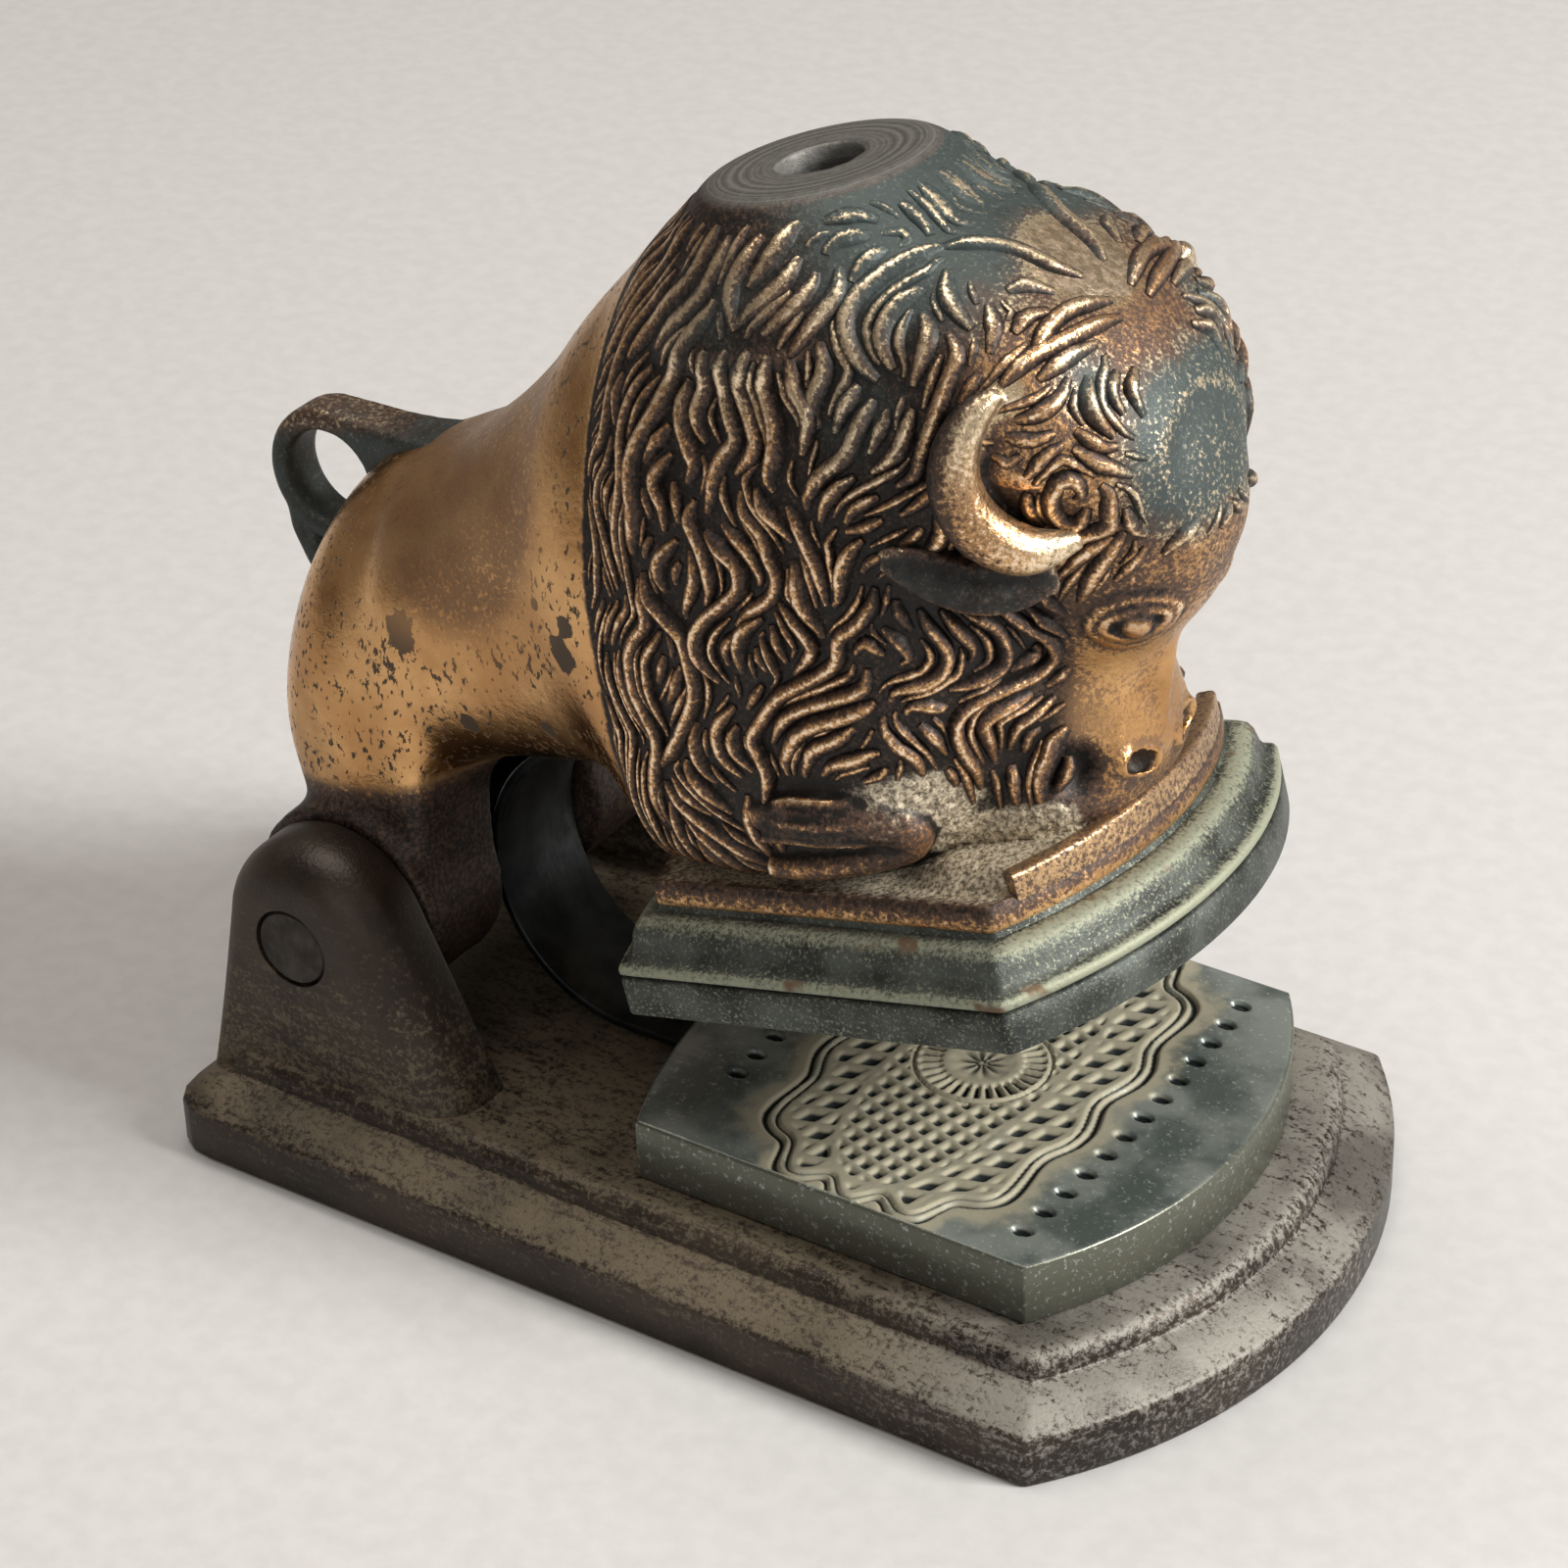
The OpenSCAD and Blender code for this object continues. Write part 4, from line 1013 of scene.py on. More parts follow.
# Bison casting, laid out level: an under-form, ridges of hair laid on it, then face and foreleg
# rows along the body: x, top, bottom, half width, height of the widest line, squareness above and below it
bodyRows = [
    (-7.2, 15, 3, 9.4, 9, 2.4, 2.4), (-6.4, 20, -3, 12.4, 11, 2.2, 2.6),
    (-4.6, 27, -6.4, 14.6, 14, 2.1, 3), (-2.2, 31.5, -8.4, 16, 16, 2.1, 4),
    (0.6, 35, -9.6, 16.8, 17, 2.2, 5), (3.65, 37.8, -10, 17.4, 17, 2.2, 5),
    (6.57, 39.4, -8, 17.4, 17, 2.2, 5), (9.1, 40, -4.4, 17.4, 18, 2.2, 5),
    (10.95, 40.3, 4.5, 17.4, 20, 2.2, 4), (13.1, 40.8, 9.5, 17.2, 24, 2.2, 3),
    (17.9, 42.1, 11.5, 17.1, 26, 2.2, 3), (24.8, 45.6, 11.5, 17.5, 28, 2.2, 3),
    (31, 49.8, 11.5, 18.4, 29, 2.1, 3), (35, 53.2, 9.5, 19.4, 30, 2.1, 3),
    (37.5, 55.2, 6.55, 20, 30, 2.1, 3.5), (40.5, 57.4, 5.25, 20.4, 30, 2.1, 5),
    (46.5, 62.2, 5.25, 20.8, 30, 2.2, 6), (53, 64.6, 5.25, 21, 30, 2.3, 6),
    (61, 64.8, 5.25, 21, 31, 2.4, 5), (67, 64.2, 5.25, 20.6, 33.2, 2.4, 3.2),
    (73, 62.4, 5.25, 19.5, 38.2, 2.3, 1.8), (78, 60.5, 5.25, 17.8, 42.2, 2.4, 1.05),
    (81, 58.7, 9.25, 17, 43.2, 2.5, 0.95), (84, 56.5, 17.25, 16.2, 43.2, 2.6, 0.95),
    (87, 53.7, 26.25, 14.6, 42.2, 2.6, 1.15), (90, 49.6, 31.25, 11.6, 41.2, 2.4, 1.6),
    (92.4, 45.2, 34.25, 7, 40.2, 2, 2)]
# plan sections of the face: height, front, half width
faceRows = [
    (5.2, 78, 11), (8.4, 80.4, 12.4), (12, 82.4, 12.6), (14.5, 82.6, 11.8), (17.5, 82.6, 10.6),
    (20, 83.2, 9.8), (22, 85, 9.4), (24, 87.4, 9.6), (26, 89.4, 10.2), (28, 90.8, 10.8), (32, 93, 12.6),
    (37, 93.6, 14), (42, 92.8, 14.8), (47, 91.2, 15), (52, 88.2, 14.2), (55.8, 84, 12.4)]
# rear edge of the mane: heights, and how far ahead of the pin it lies there
maneEdge = ((6, 20, 27.5, 35, 43, 49, 57, 66), (39.6, 39.8, 40.7, 41.6, 42.9, 43.7, 45, 47))


def ramp(value, start, over):
    # 0 up to the start, then up to 1
    return min(max((value - start) / over, 0), 1)


def signedPower(value, power):
    return math.copysign(abs(value) ** power, value)


def bodyForm():
    b = bison
    body = []
    for x, top, bottom, half, wideZ, squareUp, squareDown in smoothRows(bodyRows, b["rowSteps"]):
        slim = b["slim"] * ramp(x, b["slimFrom"], b["slimOver"])
        ring = []
        for c, s in circle(b["bodySides"]):
            power = 2 / (squareUp if s > 0 else squareDown)
            rise = top - slim - wideZ if s > 0 else wideZ - bottom
            ring.append((x, (half - slim) * signedPower(c, power), wideZ + rise * signedPower(s, power)))
        body.append(ring)
    face = []
    for z, front, half in smoothRows(faceRows, b["rowSteps"]):
        ring = []
        for c, s in circle(b["faceSides"]):
            reach = front - b["faceFrom"] if c > 0 else b["faceBehind"]
            x = b["faceFrom"] + reach * signedPower(c, b["faceSquare"])
            ring.append((x, half * signedPower(s, b["faceSquare"]), z))
        face.append(ring)
    return [loft(body), loft(face)]


def acrossPart(radius, y0, y1, sides=64):
    # cylinder along y
    return loft([[(radius * s, y, radius * c) for c, s in circle(sides)] for y in (y0, y1)])


def voxelSkin(obj, size, smooth, factor=0.5):
    skin = obj.modifiers.new("skin", "REMESH")
    skin.mode = "VOXEL"
    skin.voxel_size = size
    skin.use_smooth_shade = True
    applyModifiers(obj)
    ease = obj.modifiers.new("ease", "SMOOTH")
    ease.factor = factor
    ease.iterations = smooth
    applyModifiers(obj)


def makeUnderForm():
    b = bison
    parts = bodyForm()
    for side in (-1, 1):
        parts.append(acrossPart(b["lugRadius"], *sorted((side * b["lugIn"], side * b["lugOut"]))))
    shoulder = turned(b["shoulder"] + [(b["padRadius"], b["padZ"])])
    parts.append(moved(shoulder, Matrix.Translation((b["padX"], 0, 0))))
    form = looseObject("underForm", joined(parts))
    voxelSkin(form, b["coarse"], b["coarseSmooth"])
    past, (rear, front), padZ = b["past"], b["topCut"], b["padZ"]
    cutAway(form, [boxPart((-past, -b["lugIn"], -past), (b["slotX"], b["lugIn"], b["slotZ"]))])
    cutAway(form, [acrossPart(b["bore"], -b["boreHalf"], b["boreHalf"])])
    cutAway(form, [boxPart((rear, -past, padZ), (front, past, padZ + b["topHigh"]))])
    hole = turned([(b["holeRadius"], padZ - b["holeDeep"]), (b["holeRadius"], padZ + b["holeOver"])])
    cutAway(form, [moved(hole, Matrix.Translation((b["padX"], 0, 0)))])
    return form


def edgeOfMane(z):
    return np.interp(z, *maneEdge)


# Hair: ridges follow the drawn locks, and between them a flow set by a few directions, which sways into waves
hair = dict(step=0.45, reach=56, shortest=6, seed=11, close=0.86, high=0.95, flow=0.012, browReach=2.0,
            passes=[(16000, 1.0), (26000, 0.6)], cell=2.0, lockSteps=6, wide=(0.48, 0.6),
            fineHigh=(0.35, 0.65),
            # how softly the flow's directions and the drawn locks mix
            spread=6, fade=1.5, nearest=6, soft=0.4,
            # where seeds are thrown: x, y and z
            room=((39, 90), (-23, 0), (6, 66)))
# place on the side (x, z), the way the hair falls there (x, z) and how far it sways, in degrees
hairFlow = [
    (42, 56, -0.15, -1, 6), (42, 30, -0.05, -1, 8), (40.5, 10, 0.05, -1, 8), (50, 58, -0.5, -0.85, 14),
    (52, 46, -0.25, -0.97, 34), (50, 32, -0.05, -1, 44), (48, 18, 0.1, -1, 42), (46, 9, 0.3, -0.95, 24),
    (60, 57, -0.45, -0.9, 24), (62, 45, -0.25, -0.97, 38), (60, 32, -0.1, -1, 46),
    (56, 20, -0.05, -1, 42), (70, 58, -0.65, -0.75, 20), (72, 49, -0.65, -0.75, 20),
    (70, 38, -0.55, -0.85, 30), (68, 29, -0.55, -0.85, 46), (66, 21, -0.6, -0.8, 44),
    (78, 56, -0.75, -0.65, 14), (79, 31, -0.45, -0.9, 50), (76, 24, -0.5, -0.85, 50),
    (81, 24, -0.5, -0.85, 48), (75, 17, -0.3, -0.95, 44), (73, 12, -0.1, -1, 20)]
sway = dict(length=11.0, shift=0.22, wander=1.5, wanderSize=10.0, wanderFlat=0.7, wanderSlice=3.0, hook=0.3)
# main locks drawn along the photograph's pixels, each group with its half width and its height's share
drawnLocks = dict(
    hump=dict(wide=0.95, high=1.25, lines=[
        [(963, 251), (924, 266), (893, 286), (869, 310), (863, 336), (876, 366), (898, 390)],
        [(963, 251), (997, 247), (1036, 253), (1075, 271), (1106, 282)],
        [(943, 295), (919, 310), (904, 332), (902, 353), (913, 379)],
        [(941, 319), (947, 340), (941, 366), (930, 397)], [(967, 275), (967, 301), (980, 323), (995, 338)],
        [(856, 275), (852, 301), (828, 332), (806, 362)], [(815, 262), (800, 286), (776, 308), (750, 332)],
        [(778, 240), (763, 262), (746, 297), (750, 340)],
        [(744, 240), (731, 271), (711, 306), (685, 332), (668, 358)],
        [(837, 349), (843, 379), (832, 410), (837, 440)], [(876, 392), (863, 414), (850, 444)],
        [(804, 366), (811, 397), (826, 427), (817, 466)],
        [(763, 358), (754, 392), (767, 427), (772, 457), (750, 483)],
        [(720, 358), (722, 392), (713, 427), (724, 457)], [(1028, 297), (1047, 292), (1080, 299)],
        [(904, 253), (880, 271), (867, 292)], [(841, 225), (872, 218), (900, 225)],
        [(919, 206), (941, 225), (952, 243)],
        [(1010, 310), (1015, 336), (1010, 362)], [(1034, 340), (1047, 323), (1071, 316)]]),
    brow=dict(wide=0.85, high=1.05, lines=[
        [(1054, 364), (1069, 336), (1093, 316), (1136, 306)],
        [(1021, 394), (1049, 368), (1084, 349), (1119, 332), (1147, 323)],
        [(1060, 388), (1093, 364), (1119, 351)], [(1036, 429), (1058, 423), (1080, 407), (1091, 384)],
        [(1025, 446), (1054, 449), (1080, 440)], [(1047, 488), (1067, 466), (1086, 453)],
        [(1110, 518), (1101, 531), (1084, 529), (1073, 514), (1078, 494), (1095, 490), (1104, 503),
         (1095, 512)],
        [(1095, 457), (1119, 472), (1158, 485)], [(1097, 440), (1123, 457), (1145, 455)],
        [(1110, 384), (1108, 410), (1119, 431), (1140, 449)], [(1140, 379), (1134, 401), (1147, 423)],
        [(1149, 518), (1158, 540), (1177, 546)], [(1136, 548), (1106, 564), (1080, 590)],
        [(1147, 542), (1127, 568), (1110, 594), (1101, 616)], [(1171, 559), (1153, 579), (1138, 594)]]),
    flank=dict(wide=0.8, high=1.2, lines=[
        [(710, 510), (705, 529), (715, 554), (724, 580), (726, 602), (721, 618)],
        [(720, 542), (740, 561), (756, 577), (758, 599), (743, 615), (723, 631), (713, 650), (718, 672),
         (737, 698)],
        [(756, 500), (761, 522), (779, 545), (785, 567), (794, 589), (788, 609), (766, 623), (750, 640)],
        [(772, 497), (780, 516), (796, 535), (810, 553)],
        [(804, 516), (817, 538), (826, 558), (836, 580), (844, 618)],
        [(873, 487), (855, 500), (842, 519), (838, 535)], [(897, 507), (874, 519), (863, 535)],
        [(901, 530), (881, 538), (861, 543)], [(881, 551), (868, 564), (861, 583), (858, 609), (849, 621)],
        [(903, 567), (887, 575), (879, 586)],
        [(893, 599), (889, 618), (874, 637), (857, 650), (855, 672), (842, 685), (817, 698), (795, 711),
         (779, 733), (769, 752), (779, 774), (785, 794), (780, 822)],
        [(884, 682), (881, 701), (855, 711), (823, 720), (801, 733), (788, 758)],
        [(795, 615), (810, 634), (825, 653), (828, 666), (810, 688)],
        [(779, 631), (761, 644), (756, 666), (759, 688)],
        [(753, 644), (740, 660), (743, 679)], [(772, 660), (783, 685)], [(788, 637), (795, 660), (804, 679)],
        [(657, 583), (665, 609), (683, 631), (699, 650), (708, 682), (712, 707), (704, 733), (689, 765),
         (673, 784)],
        [(653, 589), (657, 612), (661, 634), (648, 653), (643, 672), (648, 704), (661, 730), (672, 755),
         (669, 787), (670, 813), (680, 841), (684, 870)],
        [(712, 736), (712, 762), (720, 784), (734, 800)],
        [(750, 720), (734, 739), (734, 758), (743, 778), (761, 795)],
        [(686, 462), (669, 487), (677, 516), (678, 542)], [(692, 551), (677, 570), (675, 589), (683, 609)],
        [(696, 679), (692, 701), (683, 717)], [(686, 790), (705, 813), (728, 832)]]),
    cheek=dict(wide=0.75, high=1.25, lines=[
        [(901, 640), (919, 655), (928, 671), (919, 679)],
        [(938, 621), (948, 640), (964, 660), (964, 679), (948, 695), (916, 704), (908, 717)],
        [(960, 621), (976, 640), (992, 660), (989, 679)],
        [(983, 625), (1011, 637), (1024, 660), (1018, 679), (992, 695), (967, 704)],
        [(1018, 621), (1046, 637), (1072, 650), (1078, 666), (1059, 685), (1027, 701), (999, 714),
         (979, 730), (976, 749), (984, 768), (995, 784), (1002, 806)],
        [(1046, 618), (1069, 634), (1093, 653)],
        [(1053, 707), (1024, 720), (1002, 736), (1008, 758), (1015, 778)],
        [(1078, 711), (1056, 727), (1037, 742), (1030, 768)], [(938, 739), (954, 752), (967, 771)]]),
)


# where the skin has no hair, and the ridges' room and height
bare = dict(low=6.5, pad=11.5, padLow=50, browX=82, browZ=35, noseX=80, noseZ=33, noseHalf=9.5, lipZ=20,
            lipBack=1.5, lipWide=1, crownX=77, crownZ=50, crownHalf=9, legX=60, legZ=18, legSlope=0.12,
            legFrom=55, legTo=71, groundX=69, groundZ=11.5)
strand = dict(gap=0.78, gapMore=0.8, gapFrom=1.5, gapOver=6, humpGap=0.3, humpFrom=46, humpOver=10,
              high=0.42, highMore=0.42, highOver=6, crownLess=0.5, crownFrom=50, crownOver=8)


def inHair(p, field):
    n = bare
    if p.x < edgeOfMane(p.z) or p.z < n["low"]:
        return False
    if (p.x - bison["padX"]) ** 2 + p.y ** 2 < n["pad"] ** 2 and p.z > n["padLow"]:
        return False
    lip = p.z < n["lipZ"]
    brow = p.x > n["browX"] and p.z > n["browZ"] and field["tree"].find(p)[2] > hair["browReach"]
    nose = (p.z < n["noseZ"] and p.x > n["noseX"] - lip * n["lipBack"]
            and abs(p.y) < n["noseHalf"] + lip * n["lipWide"])
    crown = p.z > n["crownZ"] and p.x > n["crownX"] and abs(p.y) < n["crownHalf"]
    leg = p.z < n["legZ"] - abs(p.x - n["legX"]) * n["legSlope"] and n["legFrom"] < p.x < n["legTo"]
    ground = p.x > n["groundX"] and p.z < n["groundZ"]
    return not (brow or nose or crown or leg or ground)


def hairGap(p):
    # room between ridges: fine along the rear edge, broad on the hump
    s = strand
    past = p.x - edgeOfMane(p.z)
    gap = s["gap"] + s["gapMore"] * ramp(past, s["gapFrom"], s["gapOver"])
    return gap + s["humpGap"] * ramp(p.z, s["humpFrom"], s["humpOver"])


def hairHeight(p):
    # low along the rear edge and on the crown
    s = strand
    past = p.x - edgeOfMane(p.z)
    high = s["high"] + s["highMore"] * ramp(past, 0, s["highOver"])
    return high * (1 - s["crownLess"] * ramp(p.z, s["crownFrom"], s["crownOver"]))


class Crowd:
    # points already taken, in a grid of cells
    def __init__(self, cell):
        self.cell, self.cells = cell, {}

    def key(self, p):
        return tuple(int(math.floor(c / self.cell)) for c in p)

    def add(self, points):
        for p in points:
            self.cells.setdefault(self.key(p), []).append(p)

    def near(self, p, gap):
        kx, ky, kz = self.key(p)
        for i in (-1, 0, 1):
            for j in (-1, 0, 1):
                for k in (-1, 0, 1):
                    for q in self.cells.get((kx + i, ky + j, kz + k), ()):
                        if (p - q).length_squared < gap * gap:
                            return True
        return False


def evenSteps(points, step):
    line, rest = [points[0]], 0.0
    for a, b in zip(points, points[1:]):
        far = (b - a).length
        at = step - rest
        while at <= far:
            line.append(a.lerp(b, at / far))
            at += step
        rest = far - (at - step)
    return line


def hairWay(p, normal, field, ahead=None):
    # direction of fall at a place on the skin: that of the drawn locks nearby, else the swayed flow
    weights = []
    for row in hairFlow:
        weights.append(1 / ((p.x - row[0]) ** 2 + (p.z - row[1]) ** 2 + hair["spread"]) ** hair["fade"])
    total = sum(weights)
    x, z, turn = (sum(w * row[k] for w, row in zip(weights, hairFlow)) / total for k in (2, 3, 4))
    way = Vector((x, 0, z))
    way = (way - normal * way.dot(normal)).normalized()
    spot = Vector((p.x, p.z * sway["wanderFlat"], sway["wanderSlice"])) / sway["wanderSize"]
    drift = sway["wander"] * noise.noise(spot)
    phase = 2 * math.pi * (p.z / sway["length"] + drift) + sway["shift"] * p.x
    angle = math.radians(turn) * (math.sin(phase) + sway["hook"] * math.sin(2 * phase))
    way = Matrix.Rotation(angle, 3, normal) @ way
    ahead = ahead or way
    way = way * math.copysign(hair["flow"], way.dot(ahead))
    for spot, k, far in field["tree"].find_n(p, hair["nearest"]):
        drawn = field["ways"][k]
        way += drawn * math.copysign(1 / (far * far + hair["soft"]) ** 2, drawn.dot(ahead))
    return (way - normal * way.dot(normal)).normalized()


def drawnField(curves):
    points = [p for curve in curves for p in curve]
    tree = KDTree(len(points))
    for k, p in enumerate(points):
        tree.insert(p, k)
    tree.balance()
    ways = []
    for curve in curves:
        last = len(curve) - 1
        ways += [(curve[min(k + 1, last)] - curve[max(k - 1, 0)]).normalized() for k in range(last + 1)]
    return dict(tree=tree, ways=ways)


def hairLines(skin):
    # each line comes with its height's share and its half width
    lines, crowd = [], Crowd(hair["cell"])
    for group in drawnLocks.values():
        for pixels in group["lines"]:
            spots = [onSkin(skin, pixel) for pixel in pixels]
            curve = evenSteps(smoothLine([p for p in spots if p], hair["lockSteps"]), hair["step"])
            curve = [skin.find_nearest(p)[0] for p in curve]
            lines.append((curve, group["high"], group["wide"]))
            crowd.add(curve)
    field = drawnField([curve for curve, share, wide in lines])
    dice = random.Random(hair["seed"])
    # broad locks first, then finer strands in the room left between them
    for seeds, fineness in hair["passes"]:
        for _ in range(seeds):
            guess = Vector([dice.uniform(*ends) for ends in hair["room"]])
            start, normal, face, far = skin.find_nearest(guess)
            if start.y > 0 or not inHair(start, field) or crowd.near(start, hairGap(start) * fineness):
                continue
            halves = []
            for sign in (-1, 1):
                half, spot, ahead = [], start, hairWay(start, normal, field) * sign
                for _ in range(dice.randint(hair["reach"] // 3, hair["reach"])):
                    after, up, face, far = skin.find_nearest(spot + ahead * hair["step"])
                    room = hairGap(after) * fineness * hair["close"]
                    if after.y > 0 or not inHair(after, field) or crowd.near(after, room):
                        break
                    half.append(after)
                    spot, ahead = after, hairWay(after, up, field, ahead)
                halves.append(half)
            line = halves[0][::-1] + [start] + halves[1]
            if len(line) >= hair["shortest"]:
                wide = dice.uniform(*hair["wide"]) * hairGap(line[len(line) // 2]) * fineness
                least, more = hair["fineHigh"]
                lines.append((line, least + more * fineness, wide))
                crowd.add(line)
    return lines


# Section of a lock, as shares of its half width and height, with how bright each point is worn
lockSection = [(-1.2, -0.5, 0.0), (-0.85, 0.42, 0.15), (-0.4, 0.9, 0.58), (0.05, 1.0, 1.0), (0.5, 0.84, 0.6),
               (0.85, 0.36, 0.15), (1.2, -0.5, 0.0), (0.0, -0.9, 0.0)]


ridge = dict(seed=5, lift=(0.85, 1.25), slant=(-0.3, 0.3), end=0.6, rootLong=5, tipLong=7, least=0.1,
             round=0.7, wide=(0.35, 0.65), shine=(0.6, 0.4))


def hairRidge(line, share, wide, skin, dice):
    r = ridge
    lift = dice.uniform(*r["lift"]) * share * hair["high"]
    slant = dice.uniform(*r["slant"])
    ups, sections, shine, last = [], [], [], len(line) - 1
    for k, p in enumerate(line):
        ups.append(skin.find_nearest(p)[1])
        root, tip = (k + r["end"]) / r["rootLong"], (last - k + r["end"]) / r["tipLong"]
        taper = max(min(1, root, tip), r["least"]) ** r["round"]
        w = wide * (r["wide"][0] + r["wide"][1] * taper)
        h = hairHeight(p) * lift * taper
        section = []
        for a, b, bright in lockSection:
            section.append(((a + slant * max(b, 0)) * w, b * h if b > 0 else b))
            shine.append(bright * (r["shine"][0] + r["shine"][1] * taper))
        sections.append(section)
    return sweep(line, ups, sections), shine


# Horns, ears, eyes, nostrils and the folded foreleg, for the right-hand side
horn = dict(
    path=[(86.6, -11.8, 36.6), (83.6, -15.2, 37.0), (81.1, -17.3, 39.7), (80.3, -18.2, 43.3),
          (80.9, -17.9, 46.6), (82.2, -16.9, 48.9), (83.4, -15.9, 50.0), (84.4, -15.0, 50.5)],
    radius=[0.8, 2.1, 2.4, 2.3, 2.0, 1.6, 1.1, 0.5])
earLeaf = dict(
    path=[(84.0, -12.4, 33.6), (80.8, -14.4, 33.4), (78.2, -16.4, 34.4), (76.0, -18.2, 36.2),
          (74.3, -19.4, 37.6), (73.0, -19.8, 38.3)],
    high=[0.9, 1.8, 2.2, 2.1, 1.3, 0.4], thick=[0.8, 1.2, 1.3, 1.2, 0.9, 0.4], sides=16,
    lean=(0.35, -0.8, 0.35), rimOut=0.55, rimAt=0.86, rim=(0.55, 0.6))
eye = dict(place=(86.5, -6.8, 26.7), long=2.8, tall=1.7, lid=0.5, lidLift=0.15, ball=1.5, sink=0.25,
           foldLong=1.4, foldTall=1.7, foldThick=0.8)
nostril = dict(pixel=(1166, 778), long=2.2, tall=1.3, tilt=-0.3, rim=0.45, lift=0.1, wide=2.5, deep=1.7)
mouth = dict(pixel=(1104, 790), wide=3.8, deep=2.2)
foreleg = dict(
    path=[(53.0, -19.4, 13.8), (58.0, -19.7, 14.2), (62.6, -19.1, 14.0), (65.8, -17.6, 12.7),
          (66.2, -16.8, 10.8), (62.8, -17.6, 9.4), (57.8, -18.9, 8.8), (53.0, -19.6, 8.7)],
    radius=[1.6, 2.2, 2.4, 2.3, 2.0, 1.6, 1.4, 1.1],
    # hairs along its upper part: where the first starts, and its further points with their rise
    hairs=5, hairLow=12.0, hairRise=0.95, hairShift=0.6, hairRound=0.3, hairRoot=(53.6, -21.1),
    hairPath=[(58, -22.0, 0.3), (62.4, -21.4, 0), (65.0, -19.6, -0.6)], hairRadius=[0.2, 0.45, 0.42, 0.2])
formDetail = dict(steps=6, tubeSides=14, ringSides=28, almond=1.3)


def tube(path, radii):
    line = smoothLine(path, formDetail["steps"])
    sizes = smoothValues(radii, formDetail["steps"])
    return sweep(line, [(0, -1, 0)] * len(line), [ovalSection(r, r, formDetail["tubeSides"]) for r in sizes])


def ringOn(skin, place, long, tall, thick, lift=0.0, tilt=0.0):
    # closed ridge round an almond on the skin, its long axis towards the nose
    spot, normal, face, far = skin.find_nearest(Vector(place))
    up = (Vector((0, 0, 1)) - normal * normal.z).normalized()
    along = up.cross(normal).normalized()
    points = []
    for k in range(formDetail["ringSides"] + 1):
        a = 2 * math.pi * k / formDetail["ringSides"]
        bend = signedPower(math.sin(a), formDetail["almond"])
        q = spot + along * (long * math.cos(a)) + up * (tall * bend + tilt * long * math.cos(a))
        points.append(skin.find_nearest(q)[0] + normal * lift)
    return sweep(points, [normal] * len(points), [ovalSection(thick, thick)] * len(points))


def faceParts(skin):
    parts = [tube(horn["path"], horn["radius"])]
    leaf, steps = earLeaf, formDetail["steps"]
    line = smoothLine(leaf["path"], steps)
    highs, thicks = smoothValues(leaf["high"], steps), smoothValues(leaf["thick"], steps)
    leans = [Vector(leaf["lean"])] * len(line)
    parts.append(sweep(line, leans, [ovalSection(h, t, leaf["sides"]) for h, t in zip(highs, thicks)]))
    for edge in (-1, 1):
        rim = [p + Vector((0, -leaf["rimOut"], edge * h * leaf["rimAt"])) for p, h in zip(line, highs)]
        parts.append(sweep(rim, leans, [ovalSection(*leaf["rim"])] * len(rim)))
    e = eye
    parts.append(ringOn(skin, e["place"], e["long"], e["tall"], e["lid"], e["lidLift"]))
    foldLong, foldTall = e["long"] * e["foldLong"], e["tall"] * e["foldTall"]
    parts.append(ringOn(skin, e["place"], foldLong, foldTall, e["lid"] * e["foldThick"]))
    spot, normal, face, far = skin.find_nearest(Vector(e["place"]))
    parts.append(ball(spot - normal * e["sink"], e["ball"]))
    n = nostril
    place = onSkin(skin, n["pixel"])
    parts.append(ringOn(skin, place, n["long"], n["tall"], n["rim"], n["lift"], n["tilt"]))
    f = foreleg
    parts.append(tube(f["path"], f["radius"]))
    for k in range(f["hairs"]):
        z, out = f["hairLow"] + f["hairRise"] * k, f["hairRound"] * abs(k - f["hairs"] // 2)
        run = [(f["hairRoot"][0] + k * f["hairShift"], f["hairRoot"][1], z)]
        run += [(x, y + out, z + rise) for x, y, rise in f["hairPath"]]
        parts.append(tube(run, f["hairRadius"]))
    return parts


def falloff(places, centre, radius):
    far = np.linalg.norm(places - np.array(centre), axis=1) / radius
    return np.clip(1 - far, 0, 1) ** 2 * (1 + 2 * np.clip(far, 0, 1))


def localRise(obj, places, normals, rounds):
    # how far each point stands out from the mean of its surroundings, in millimetres
    ends = np.empty(len(obj.data.edges) * 2, np.int32)
    obj.data.edges.foreach_get("vertices", ends)
    a, b = ends.reshape(-1, 2).T
    count = np.maximum(np.bincount(ends, minlength=len(places)), 1)
    mean = places.copy()
    for _ in range(rounds):
        for axis in range(3):
            values = mean[:, axis]
            total = np.bincount(a, values[b], len(values)) + np.bincount(b, values[a], len(values))
            mean[:, axis] = 0.5 * values + 0.5 * total / count
    return ((places - mean) * normals).sum(1)


def nearLine(places, points, radius):
    # 1 on a line of points, 0 at that distance from it
    far = np.full(len(places), radius)
    for p in points:
        far = np.minimum(far, np.linalg.norm(places - np.array(p), axis=1))
    return 1 - far / radius


def rightHand(places):
    return np.stack([places[:, 0], -np.abs(places[:, 1]), places[:, 2]], 1)


# Where the bison's patina lies: place, reach and strength, for the right-hand side
patina = [
    ((74, -6, 62), 20, 1.2), ((60, -16, 57), 17, 0.5), ((92, -3, 41), 10.8, 1.8), ((89, -9, 49), 6, 0.8),
    ((72, -18, 50), 13, 0.55)]
goldBand = dict(place=(83.5, 0, 55), reach=9, film=0.42, filmEdge=1.6, relief=1.0, reliefEdge=2)
